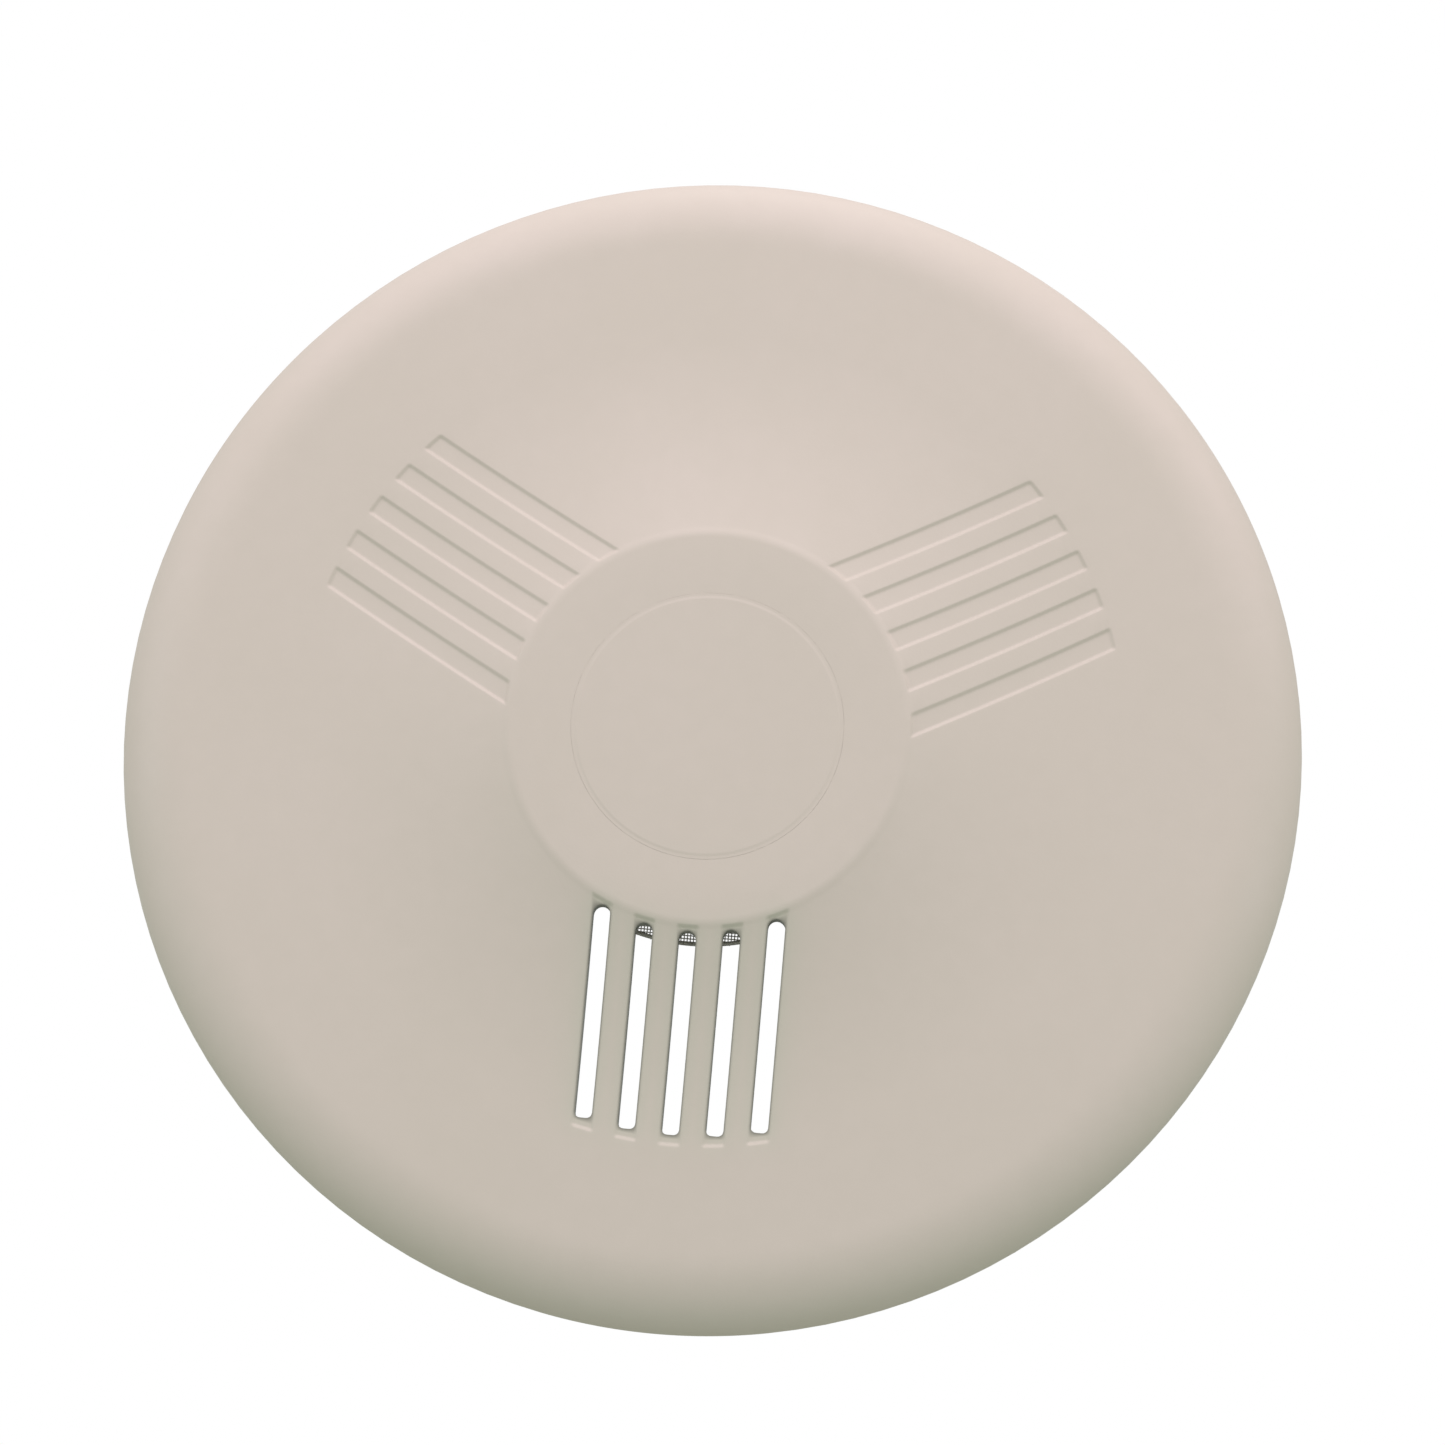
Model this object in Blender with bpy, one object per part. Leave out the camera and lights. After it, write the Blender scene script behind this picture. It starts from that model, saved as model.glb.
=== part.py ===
"""A round wall-mounted carbon monoxide detector on a twist-lock base, modelled in metres.

Every sub-part is drawn in the face frame: x to the right, y up the wall and z out from
the wall towards the room. The empty wall_frame turns that frame upright, so that the
face looks along -Y and +Z is up, with the origin on the wall at the detector's centre.
"""

import math

import bmesh
import bpy

# ---- driving dimensions, metres; a name that ends in _Z is a height out from the wall ----
GAP = 0.0003  # left between pieces that rest on each other

# base plate
BASE_THICK = 0.0025
BASE_RIM_WALL = 0.002
WIRING_DEPTH = 0.0077  # from the plate to the underside of the head
WIRE_HOLE_RADIUS = 0.013
WIRE_HOLE_Y = 0.008
BOX_SCREW_SPACING = 0.0835
BOX_SLOT_WIDTH = 0.0044
BOX_SLOT_SPAN = math.radians(14)

# twist lock between base and head
LOCK_COUNT = 3
LOCK_FIRST_ANGLE = math.radians(90)
LUG_SPAN = math.radians(14)
LEDGE_SPAN = math.radians(18)
LUG_REACH = 0.004
LUG_THICK = 0.0024
LEDGE_THICK = 0.002
LUG_LIFT = 0.0017  # from the plate to the underside of a lug
LOCK_CLEARANCE = 0.0004
STOP_SPAN = math.radians(2)
STOP_OVERLAP = math.radians(0.7)  # how far a stop stands into the end of its ledge
STOP_INSET = 0.0005  # from the ledge's inner edge to the stop's
BASE_RIM_LIP = 0.0005  # how far the rim stands above the ledges

# head: rear housing
HOUSING_RADIUS = 0.0572
HOUSING_WALL = 0.002
HOUSING_FLOOR = 0.002
GASKET_THICK = 0.0022

# vent bay through the housing, behind the open slots
BAY_LEFT = 0.0185
BAY_RIGHT = 0.017
BAY_TOP_Y = -0.014
BAY_BOTTOM_Y = -0.053
BAY_WALL = 0.0014
BAY_WALL_DROP = 0.0022  # from the top of the hood to the top of the bay walls
WINDOW_MARGIN = 0.0014
WINDOW_RAISE = 0.0025

# front cover
RIM_OVERHANG = 0.019  # how far the rim reaches past the housing
COVER_WALL = 0.0022
SKIRT_DEPTH = 0.0182  # from the flat ring of the face to the edge of the rim
ROLL_WIDTH = 0.0095
ROLL_DROP = 0.0055
SKIRT_DRAFT = 0.0014
BOSS_BORDER = 0.0087  # from the button to the edge of the boss
FLARE_WIDTH = 0.027
FLARE_RISE = 0.003
BOSS_RISE = 0.0003
BOSS_DISH = 0.0002
BOSS_SHOULDER = 0.35  # share of the boss's step that is rounded off at its top
BOSS_FILLET = 0.3  # share of the boss's step that is rounded off at its foot
RIB_THICK = 0.0014
RIB_DEPTH = 0.006

# grooves and slots
GROUP_ANGLES = (30, 150, 270)
OPEN_GROUP_ANGLE = 270
GROOVES_PER_GROUP = 5
GROOVE_PITCH = 0.00553
GROOVE_WIDTH = 0.00273
GROOVE_DEPTH = 0.0003
GROOVE_END_RADIUS = 0.0532
SLOT_WIDTH = 0.0022
SLOT_INSET = 0.0007  # from the boss to the start of the slots
SLOT_OUTER_RADIUS = 0.0519
SLOT_CORNER = 0.0007

# screws that hold the cover to the housing
POST_ANGLES = (90, 205, 335)
POST_INSET = 0.0072  # from the housing's inner wall to the posts' centres
POST_RADIUS = 0.0035
SCREW_SHANK = 0.0014
SCREW_HEAD = 0.0028
SCREW_HEAD_HEIGHT = 0.0016
SCREW_LENGTH = 0.0122
SCREW_CLEARANCE = 0.0003
SCREW_HEAD_FLAT = 0.8  # share of a screw head's radius that is flat on top
SCREW_HEAD_ROUND = 0.4  # share of a screw head's height that is rounded over
SCREW_TIP = 0.4  # share of a shank's radius left at its tip

# circuit board
BOARD_LIFT = 0.0028  # from the housing's floor to the board
BOARD_THICK = 0.0016
BOARD_SCREW_PLACES = ((-0.022, 0.038), (0.024, -0.016))
BOARD_POST_RADIUS = 0.003
BOARD_SHANK = 0.0011
BOARD_SCREW_HEAD = 0.0026
BOARD_SCREW_HEIGHT = 0.0014
BOARD_SHANK_REACH = 0.005

# cell, its holder and the screen
CELL_TO_SWITCH = 0.0011  # between the cell's collar and the switch
CELL_RADIUS = 0.0102
CELL_HEIGHT = 0.0103
HOLDER_WALL = 0.0009
HOOD_LIFT = 0.001  # from the filter to the hood
HOOD_THICK = 0.0012
HOOD_SHOW = 0.0007  # how far the hood reaches past the start of the slots
HOOD_TO_FACE = 0.005  # from the hood to the flat ring of the face
HOOD_HALF_WIDTH = 0.0084
PORT_EDGE = 0.0032
FILTER_THICK = 0.0015
SCREEN_THICK = 0.0006

# test button and push switch
BUTTON_RADIUS = 0.0171
BUTTON_GAP = 0.0003
BUTTON_PROUD = 0.0003
BUTTON_THICK = 0.0015
BUTTON_WALL = 0.0015
FLANGE_WIDTH = 0.0018
FLANGE_THICK = 0.0012
COLLAR_CLEARANCE = 0.0005
COLLAR_WALL = 0.0014
COLLAR_DEPTH = 0.0045
BUTTON_TRAVEL = 0.001
SWITCH_Y = 0.0095
SWITCH_SIDE = 0.008
SWITCH_HEIGHT = 0.0071
PLUNGER_RADIUS = 0.0016
PLUNGER_PROUD = 0.0025
PLUNGER_DEPTH = 0.0042
PLUNGER_EDGE = 0.0003
STEM_RADIUS = 0.002

# lamps
LED_PLACES = ((-0.0095, 0.008), (0.0095, 0.008))
LED_RADIUS = 0.0015
LED_HEIGHT = 0.0046
LED_DOME = 0.45  # share of a lamp's radius rounded over
GUIDE_EDGE = 0.15  # share of a rod's radius chamfered
GUIDE_RADIUS = 0.0019
GUIDE_CLEARANCE = 0.0006

# sounder
SOUNDER_PLACE = (-0.030, 0.014)
SOUNDER_RADIUS = 0.0155
SOUNDER_HEIGHT = 0.0116
SOUNDER_WALL = 0.0012
SOUND_HOLE = 0.002
PIEZO_THICK = 0.0004
PIEZO_LIFT = 0.0015

# other parts on the board: place, then size
RELAY_PLACE = (0.031, 0.022)
RELAY_SIZE = (0.020, 0.012, 0.011)
CHIP_PLACE = (0.025, -0.003)
CHIP_SIZE = (0.010, 0.010, 0.0016)
REGULATOR_PLACE = (0.014, 0.037)
REGULATOR_SIZE = (0.010, 0.009, 0.0044)
CAPACITOR_PLACES = ((0.039, 0.006), (0.0385, -0.007))
CAPACITOR_RADIUS = 0.005
CAPACITOR_HEIGHT = 0.012
CAN_EDGE = 0.0005  # chamfer of the small turned parts
BLOCK_EDGE = 0.08  # chamfer of a block, as a share of its height
THERMISTOR_PLACE = (-0.025, -0.008)
THERMISTOR_RADIUS = 0.0012
THERMISTOR_HEIGHT = 0.004
REED_PLACE = (-0.006, 0.040)
REED_LENGTH = 0.014
REED_RADIUS = 0.0013
MAGNET_RADIUS = 0.003
MAGNET_HEIGHT = 0.0022

# terminals
TERMINAL_ANGLES = (15, 65, 115, 165)
BLADE_CIRCLE = 0.038
BLADE_THICK = 0.0006
BLADE_SPAN = math.radians(11)
BLADE_TIP_LIFT = 0.0006
LEAF_THICK = 0.0005
LEAF_CLEARANCE = 0.00035
LEAF_SPAN = math.radians(8)
LEAF_TOP_GAP = 0.001
STRIP_WIDTH = 0.008
STRIP_INNER_RADIUS = 0.026
STRIP_THICK = 0.0008
PAD_HEIGHT = 0.002
PAD_MARGIN = 0.0008
TERMINAL_SCREW_CIRCLE = 0.0305
TERMINAL_SHANK = 0.0016
TERMINAL_HEAD = 0.0032
TERMINAL_HEAD_HEIGHT = 0.0017
TERMINAL_HOLE_FLOOR_Z = 0.0009

ROUND_STEPS = 48  # facets round the large turned pieces
SMALL_STEPS = 16  # facets round screws, posts and other small rounds

# ---- places that follow from the dimensions above ----
BASE_INNER_RADIUS = HOUSING_RADIUS + LUG_REACH + 2 * LOCK_CLEARANCE
BASE_RADIUS = BASE_INNER_RADIUS + BASE_RIM_WALL
LUG_OUTER_RADIUS = HOUSING_RADIUS + LUG_REACH
LUG_Z = BASE_THICK + LUG_LIFT
LEDGE_Z = LUG_Z + LUG_THICK + LOCK_CLEARANCE
LEDGE_TOP_Z = LEDGE_Z + LEDGE_THICK
BASE_RIM_Z = LEDGE_TOP_Z + BASE_RIM_LIP
LEDGE_INNER_RADIUS = HOUSING_RADIUS + 2 * LOCK_CLEARANCE
HOUSING_FLOOR_Z = BASE_THICK + WIRING_DEPTH
FLOOR_TOP_Z = HOUSING_FLOOR_Z + HOUSING_FLOOR
HOUSING_INNER_RADIUS = HOUSING_RADIUS - HOUSING_WALL
BOARD_Z = FLOOR_TOP_Z + BOARD_LIFT
PARTS_Z = BOARD_Z + BOARD_THICK + GAP
FILTER_TOP_Z = PARTS_Z + CELL_HEIGHT + GAP + FILTER_THICK
HOLDER_TOP_Z = FILTER_TOP_Z + HOOD_LIFT + HOOD_THICK
BAY_WALL_TOP_Z = HOLDER_TOP_Z - BAY_WALL_DROP
WINDOW_TOP_Y = BAY_TOP_Y + WINDOW_RAISE
ANNULUS_Z = HOLDER_TOP_Z + HOOD_TO_FACE
COVER_UNDERSIDE_Z = ANNULUS_Z - COVER_WALL
HOUSING_TOP_Z = COVER_UNDERSIDE_Z - GASKET_THICK - 2 * GAP
SKIRT_Z = ANNULUS_Z - SKIRT_DEPTH
RIM_RADIUS = HOUSING_RADIUS + RIM_OVERHANG
POST_CIRCLE = HOUSING_INNER_RADIUS - POST_INSET
BOSS_RADIUS = BUTTON_RADIUS + BOSS_BORDER
FLARE_RADIUS = BOSS_RADIUS + FLARE_WIDTH
SLOT_INNER_RADIUS = BOSS_RADIUS + SLOT_INSET
HOOD_REACH = SLOT_INNER_RADIUS + HOOD_SHOW
BOSS_Z = ANNULUS_Z + FLARE_RISE + BOSS_RISE
HOLE_EDGE_Z = BOSS_Z - BOSS_DISH
BOSS_UNDERSIDE_Z = HOLE_EDGE_Z - COVER_WALL
BUTTON_TOP_Z = HOLE_EDGE_Z + BUTTON_PROUD
BUTTON_UNDERSIDE_Z = BUTTON_TOP_Z - BUTTON_THICK
FLANGE_TOP_Z = BOSS_UNDERSIDE_Z - GAP
FLANGE_RADIUS = BUTTON_RADIUS + FLANGE_WIDTH
COLLAR_RADIUS = FLANGE_RADIUS + COLLAR_CLEARANCE
HOLDER_INNER_RADIUS = CELL_RADIUS + GAP
HOLDER_RADIUS = HOLDER_INNER_RADIUS + HOLDER_WALL
PORT_RADIUS = CELL_RADIUS - PORT_EDGE
CELL_Y = SWITCH_Y - SWITCH_SIDE / 2 - CELL_TO_SWITCH - HOLDER_RADIUS
BAY_ARC_RADIUS = HOLDER_RADIUS + 2 * GAP + BAY_WALL
SWITCH_TOP_Z = PARTS_Z + SWITCH_HEIGHT
PLUNGER_TOP_Z = SWITCH_TOP_Z + PLUNGER_PROUD
PAD_TOP_Z = BASE_THICK + PAD_HEIGHT
STRIP_Z = PAD_TOP_Z + GAP
BLADE_TIP_Z = STRIP_Z + STRIP_THICK + BLADE_TIP_LIFT
LEAF_TOP_Z = HOUSING_FLOOR_Z - LEAF_TOP_GAP


# ---- materials ----
def make_material(name, colour, roughness, metallic=0.0):
    """One Principled BSDF finish."""
    material = bpy.data.materials.new(name)
    material.use_nodes = True
    shader = material.node_tree.nodes["Principled BSDF"]
    shader.inputs["Base Color"].default_value = (*colour, 1.0)
    shader.inputs["Roughness"].default_value = roughness
    shader.inputs["Metallic"].default_value = metallic
    return material


# ---- drawing tools ----
def polar(radius, angle, centre=(0.0, 0.0)):
    """The point at a radius and an angle in radians round a centre."""
    x = centre[0] + radius * math.cos(angle)
    y = centre[1] + radius * math.sin(angle)
    return (x, y)


def arc(radius, start, end, steps, centre=(0.0, 0.0)):
    """Points along an arc, both ends included."""
    turn = (end - start) / steps
    return [polar(radius, start + turn * i, centre) for i in range(steps + 1)]


def circle(radius, centre=(0.0, 0.0), steps=SMALL_STEPS):
    """Points round a full circle, counter-clockwise."""
    return arc(radius, 0.0, math.tau, steps, centre)[:-1]


def rectangle(width, height, centre=(0.0, 0.0)):
    """The corners of an upright rectangle, counter-clockwise."""
    corners = ((-1, -1), (1, -1), (1, 1), (-1, 1))
    return [
        (centre[0] + width / 2 * sx, centre[1] + height / 2 * sy) for sx, sy in corners
    ]


def ring_sector(inner, outer, middle, span, steps=6):
    """The outline of a piece of a flat ring, centred on an angle."""
    start, end = middle - span / 2, middle + span / 2
    return arc(outer, start, end, steps) + arc(inner, end, start, steps)


def turned(outline, angle):
    """An outline turned about the detector's axis."""
    cos, sin = math.cos(angle), math.sin(angle)
    return [(x * cos - y * sin, x * sin + y * cos) for x, y in outline]


def add_prism(bm, outline, low, high):
    """An outline pulled straight up from one height to another."""
    bottom = [bm.verts.new((x, y, low)) for x, y in outline]
    face = bm.faces.new(bottom)
    pulled = bmesh.ops.extrude_face_region(bm, geom=[face])
    tops = [v for v in pulled["geom"] if isinstance(v, bmesh.types.BMVert)]
    bmesh.ops.translate(bm, verts=tops, vec=(0.0, 0.0, high - low))


def add_lathe(bm, profile, steps=ROUND_STEPS, centre=(0.0, 0.0)):
    """A profile of (radius, height) points spun round an upright axis.

    A profile that starts and ends on the axis makes a solid, any other is closed into
    a ring.
    """
    verts = [bm.verts.new((r, 0.0, z)) for r, z in profile]
    edges = [bm.edges.new(pair) for pair in zip(verts, verts[1:])]
    if profile[0][0] > 0:
        edges.append(bm.edges.new((verts[-1], verts[0])))
    bmesh.ops.spin(
        bm,
        geom=verts + edges,
        cent=(0.0, 0.0, 0.0),
        axis=(0.0, 0.0, 1.0),
        angle=math.tau,
        steps=steps,
        use_merge=True,
    )
    bmesh.ops.remove_doubles(bm, verts=bm.verts, dist=1e-6)
    bmesh.ops.translate(bm, verts=bm.verts, vec=(centre[0], centre[1], 0.0))


def add_object(name, bm, finish, parent):
    """Turns a finished mesh into a named object."""
    bmesh.ops.recalc_face_normals(bm, faces=bm.faces)
    mesh = bpy.data.meshes.new(name)
    bm.to_mesh(mesh)
    bm.free()
    mesh.shade_smooth()
    mesh.set_sharp_from_angle(angle=math.radians(30))
    if finish is not None:
        mesh.materials.append(finish)
    made = bpy.data.objects.new(name, mesh)
    bpy.context.scene.collection.objects.link(made)
    made.parent = parent
    return made


def add_guide(name, bm, parent):
    """A helper shape that only cuts or joins, and is never part of the object."""
    helper = add_object(name, bm, None, parent)
    helper.hide_render = True
    helper.display_type = "WIRE"
    return helper


def combine(target, helper, operation):
    """Cuts a helper out of a piece, joins it on, or keeps only what they share."""
    modifier = target.modifiers.new(helper.name, "BOOLEAN")
    modifier.operation = operation
    modifier.object = helper
    modifier.solver = "EXACT"


def add_empty(name, parent, location=(0.0, 0.0, 0.0)):
    """An axis or a frame that pieces hang from."""
    empty = bpy.data.objects.new(name, None)
    bpy.context.scene.collection.objects.link(empty)
    empty.parent = parent
    empty.location = location
    return empty


def prism_object(name, outlines, low, high, finish, parent):
    """A piece, or with no finish a guide, made of straight prisms of one height."""
    bm = bmesh.new()
    for outline in outlines:
        add_prism(bm, outline, low, high)
    if finish is None:
        return add_guide(name, bm, parent)
    return add_object(name, bm, finish, parent)


def lathe_object(name, profile, finish, parent, steps=ROUND_STEPS, centre=(0.0, 0.0)):
    """A turned piece, or with no finish a turned guide."""
    bm = bmesh.new()
    add_lathe(bm, profile, steps, centre)
    if finish is None:
        return add_guide(name, bm, parent)
    return add_object(name, bm, finish, parent)


def lock_angles():
    """The middle angles of the twist lock's places."""
    return [LOCK_FIRST_ANGLE + math.tau * i / LOCK_COUNT for i in range(LOCK_COUNT)]


def post_places():
    """The centres of the cover's screw posts."""
    return [polar(POST_CIRCLE, math.radians(a)) for a in POST_ANGLES]


def screw_profile(shank, head, head_low, head_height, tip):
    """A pan-head screw that stands with its head at the given height.

    A tip above the head makes a screw that points out from the wall.
    """
    far = head_low + head_height
    if tip > head_low:
        return [
            (0, head_low),
            (head * SCREW_HEAD_FLAT, head_low),
            (head, head_low + head_height * SCREW_HEAD_ROUND),
            (head, far),
            (shank, far),
            (shank, tip - shank),
            (shank * SCREW_TIP, tip),
            (0, tip),
        ]
    return [
        (0, tip),
        (shank * SCREW_TIP, tip),
        (shank, tip + shank),
        (shank, head_low),
        (head, head_low),
        (head, far - head_height * SCREW_HEAD_ROUND),
        (head * SCREW_HEAD_FLAT, far),
        (0, far),
    ]


# ---- base ----
def terminal_pad_outline(angle):
    """The raised pad under one terminal strip."""
    inner = STRIP_INNER_RADIUS - PAD_MARGIN
    outer = BLADE_CIRCLE + BLADE_THICK + LEAF_THICK + LEAF_CLEARANCE + PAD_MARGIN
    width = STRIP_WIDTH + 2 * PAD_MARGIN
    shape = rectangle(outer - inner, width, ((outer + inner) / 2, 0.0))
    return turned(shape, math.radians(angle))


def base_window_outline():
    """The window behind the vent bay, a little wider than the bay."""
    left, right = -BAY_LEFT - WINDOW_MARGIN, BAY_RIGHT + WINDOW_MARGIN
    top, bottom = WINDOW_TOP_Y, BAY_BOTTOM_Y
    middle = ((left + right) / 2, (top + bottom) / 2)
    return rectangle(right - left, top - bottom, middle)


def make_base_plate(finish, parent):
    """The back plate: disc, rim, ledges, stops and terminal pads."""
    profile = [
        (0, 0.0),
        (BASE_RADIUS, 0.0),
        (BASE_RADIUS, BASE_RIM_Z),
        (BASE_INNER_RADIUS, BASE_RIM_Z),
        (BASE_INNER_RADIUS, BASE_THICK),
        (0, BASE_THICK),
    ]
    plate = lathe_object("base_plate", profile, finish, parent)
    bite = BASE_RIM_WALL / 2
    ledges = [
        ring_sector(LEDGE_INNER_RADIUS, BASE_INNER_RADIUS + bite, a, LEDGE_SPAN)
        for a in lock_angles()
    ]
    ledge_guide = prism_object(
        "ledge_guide", ledges, LEDGE_Z, LEDGE_TOP_Z, None, parent
    )
    combine(plate, ledge_guide, "UNION")
    stop_shift = (LEDGE_SPAN + STOP_SPAN) / 2 - STOP_OVERLAP
    stop_inner = LEDGE_INNER_RADIUS + STOP_INSET
    stop_outer = BASE_INNER_RADIUS + bite
    stops = [
        ring_sector(stop_inner, stop_outer, a - stop_shift, STOP_SPAN, 2)
        for a in lock_angles()
    ]
    plate_middle = BASE_THICK / 2
    stop_high = LEDGE_Z + LEDGE_THICK / 2
    stop_guide = prism_object(
        "stop_guide", stops, plate_middle, stop_high, None, parent
    )
    combine(plate, stop_guide, "UNION")
    pads = [terminal_pad_outline(a) for a in TERMINAL_ANGLES]
    pad_guide = prism_object("pad_guide", pads, plate_middle, PAD_TOP_Z, None, parent)
    combine(plate, pad_guide, "UNION")
    cut_base_holes(plate, parent)
    return plate


def cut_base_holes(plate, parent):
    """Window, wire entry, box-screw slots and terminal screw holes."""
    below, above = -BASE_THICK, BASE_THICK * 2
    slots = []
    for middle in (0.0, math.pi):
        inner = BOX_SCREW_SPACING / 2 - BOX_SLOT_WIDTH / 2
        outer = BOX_SCREW_SPACING / 2 + BOX_SLOT_WIDTH / 2
        slots.append(ring_sector(inner, outer, middle, BOX_SLOT_SPAN, 4))
    wire = circle(WIRE_HOLE_RADIUS, (0.0, WIRE_HOLE_Y), 24)
    through = [base_window_outline(), wire, *slots]
    window_guide = prism_object(
        "base_window_guide", through, below, above, None, parent
    )
    combine(plate, window_guide, "DIFFERENCE")
    holes = [
        circle(
            TERMINAL_SHANK + SCREW_CLEARANCE,
            polar(TERMINAL_SCREW_CIRCLE, math.radians(a)),
        )
        for a in TERMINAL_ANGLES
    ]
    high = PAD_TOP_Z + PAD_HEIGHT
    hole_guide = prism_object(
        "pad_hole_guide", holes, TERMINAL_HOLE_FLOOR_Z, high, None, parent
    )
    combine(plate, hole_guide, "DIFFERENCE")


def make_terminal(index, angle_deg, brass, steel, parent):
    """One brass strip with its spring leaves, and the screw that clamps a wire to it."""
    angle = math.radians(angle_deg)
    leaf_inner = BLADE_CIRCLE - BLADE_THICK / 2 - LEAF_CLEARANCE
    leaf_outer = BLADE_CIRCLE + BLADE_THICK / 2 + LEAF_CLEARANCE
    strip_end = leaf_outer + LEAF_THICK
    length = strip_end - STRIP_INNER_RADIUS
    flat = rectangle(length, STRIP_WIDTH, ((strip_end + STRIP_INNER_RADIUS) / 2, 0.0))
    strip = prism_object(
        f"terminal_contact_{index}",
        [turned(flat, angle)],
        STRIP_Z,
        STRIP_Z + STRIP_THICK,
        brass,
        parent,
    )
    bite = LEAF_THICK / 5
    leaves = [
        ring_sector(leaf_inner - LEAF_THICK, leaf_inner, angle, LEAF_SPAN, 3),
        ring_sector(leaf_outer, leaf_outer + LEAF_THICK - bite, angle, LEAF_SPAN, 3),
    ]
    leaf_guide = prism_object(
        f"leaf_guide_{index}", leaves, STRIP_Z + STRIP_THICK / 2, LEAF_TOP_Z, None, parent
    )
    combine(strip, leaf_guide, "UNION")
    place = polar(TERMINAL_SCREW_CIRCLE, angle)
    hole = circle(TERMINAL_SHANK + SCREW_CLEARANCE, place)
    hole_guide = prism_object(
        f"strip_hole_guide_{index}",
        [hole],
        STRIP_Z - STRIP_THICK,
        STRIP_Z + 2 * STRIP_THICK,
        None,
        parent,
    )
    combine(strip, hole_guide, "DIFFERENCE")
    head_low = STRIP_Z + STRIP_THICK + GAP
    profile = screw_profile(
        TERMINAL_SHANK,
        TERMINAL_HEAD,
        head_low,
        TERMINAL_HEAD_HEIGHT,
        TERMINAL_HOLE_FLOOR_Z + GAP,
    )
    name = f"terminal_screw_{index}"
    lathe_object(name, profile, steel, parent, SMALL_STEPS, place)


def make_magnet(finish, parent):
    """The magnet under the head's reed switch."""
    low = BASE_THICK + GAP
    outline = circle(MAGNET_RADIUS, REED_PLACE)
    prism_object("tamper_magnet", [outline], low, low + MAGNET_HEIGHT, finish, parent)


# ---- vent bay ----
def bay_outline(grow):
    """The bay's outline, wider by grow on every side; the cell's collar dips into it."""
    left, right = -BAY_LEFT - grow, BAY_RIGHT + grow
    top, bottom = BAY_TOP_Y + grow, BAY_BOTTOM_Y - grow
    radius = BAY_ARC_RADIUS - grow
    drop = CELL_Y - top
    reach = math.asin(drop / radius)
    dip = arc(radius, math.pi + reach, math.tau - reach, 10, (0.0, CELL_Y))
    return [(left, bottom), (left, top)] + dip + [(right, top), (right, bottom)]


# ---- rear housing ----
def blade_outline(angle_deg, grow=0.0):
    """One blade in plan, or with grow the slot that it passes through."""
    inner = BLADE_CIRCLE - BLADE_THICK / 2 - grow
    outer = BLADE_CIRCLE + BLADE_THICK / 2 + grow
    span = BLADE_SPAN + 2 * grow / BLADE_CIRCLE
    return ring_sector(inner, outer, math.radians(angle_deg), span, 3)


def make_rear_housing(finish, parent):
    """The back shell: wall, raised floor, lugs, bay walls and board posts."""
    profile = [
        (0, HOUSING_FLOOR_Z),
        (HOUSING_INNER_RADIUS, HOUSING_FLOOR_Z),
        (HOUSING_INNER_RADIUS, LUG_Z),
        (HOUSING_RADIUS, LUG_Z),
        (HOUSING_RADIUS, HOUSING_TOP_Z),
        (HOUSING_INNER_RADIUS, HOUSING_TOP_Z),
        (HOUSING_INNER_RADIUS, FLOOR_TOP_Z),
        (0, FLOOR_TOP_Z),
    ]
    shell = lathe_object("rear_housing", profile, finish, parent)
    bite = HOUSING_WALL / 2
    lugs = [
        ring_sector(HOUSING_RADIUS - bite, LUG_OUTER_RADIUS, a, LUG_SPAN)
        for a in lock_angles()
    ]
    lug_guide = prism_object(
        "lug_guide", lugs, LUG_Z, LUG_Z + LUG_THICK, None, parent
    )
    combine(shell, lug_guide, "UNION")
    wall_low = HOUSING_FLOOR_Z + HOUSING_FLOOR / 2
    bay_block = prism_object(
        "bay_block_guide",
        [bay_outline(BAY_WALL)],
        wall_low,
        BAY_WALL_TOP_Z,
        None,
        parent,
    )
    round_guide = prism_object(
        "bay_limit_guide",
        [circle(HOUSING_RADIUS - bite, (0.0, 0.0), ROUND_STEPS)],
        0.0,
        ANNULUS_Z,
        None,
        parent,
    )
    combine(bay_block, round_guide, "INTERSECT")
    combine(shell, bay_block, "UNION")
    posts = [circle(BOARD_POST_RADIUS, place) for place in BOARD_SCREW_PLACES]
    post_guide = prism_object(
        "board_post_guide", posts, wall_low, BOARD_Z - GAP, None, parent
    )
    combine(shell, post_guide, "UNION")
    cut_housing_holes(shell, parent)
    return shell


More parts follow.
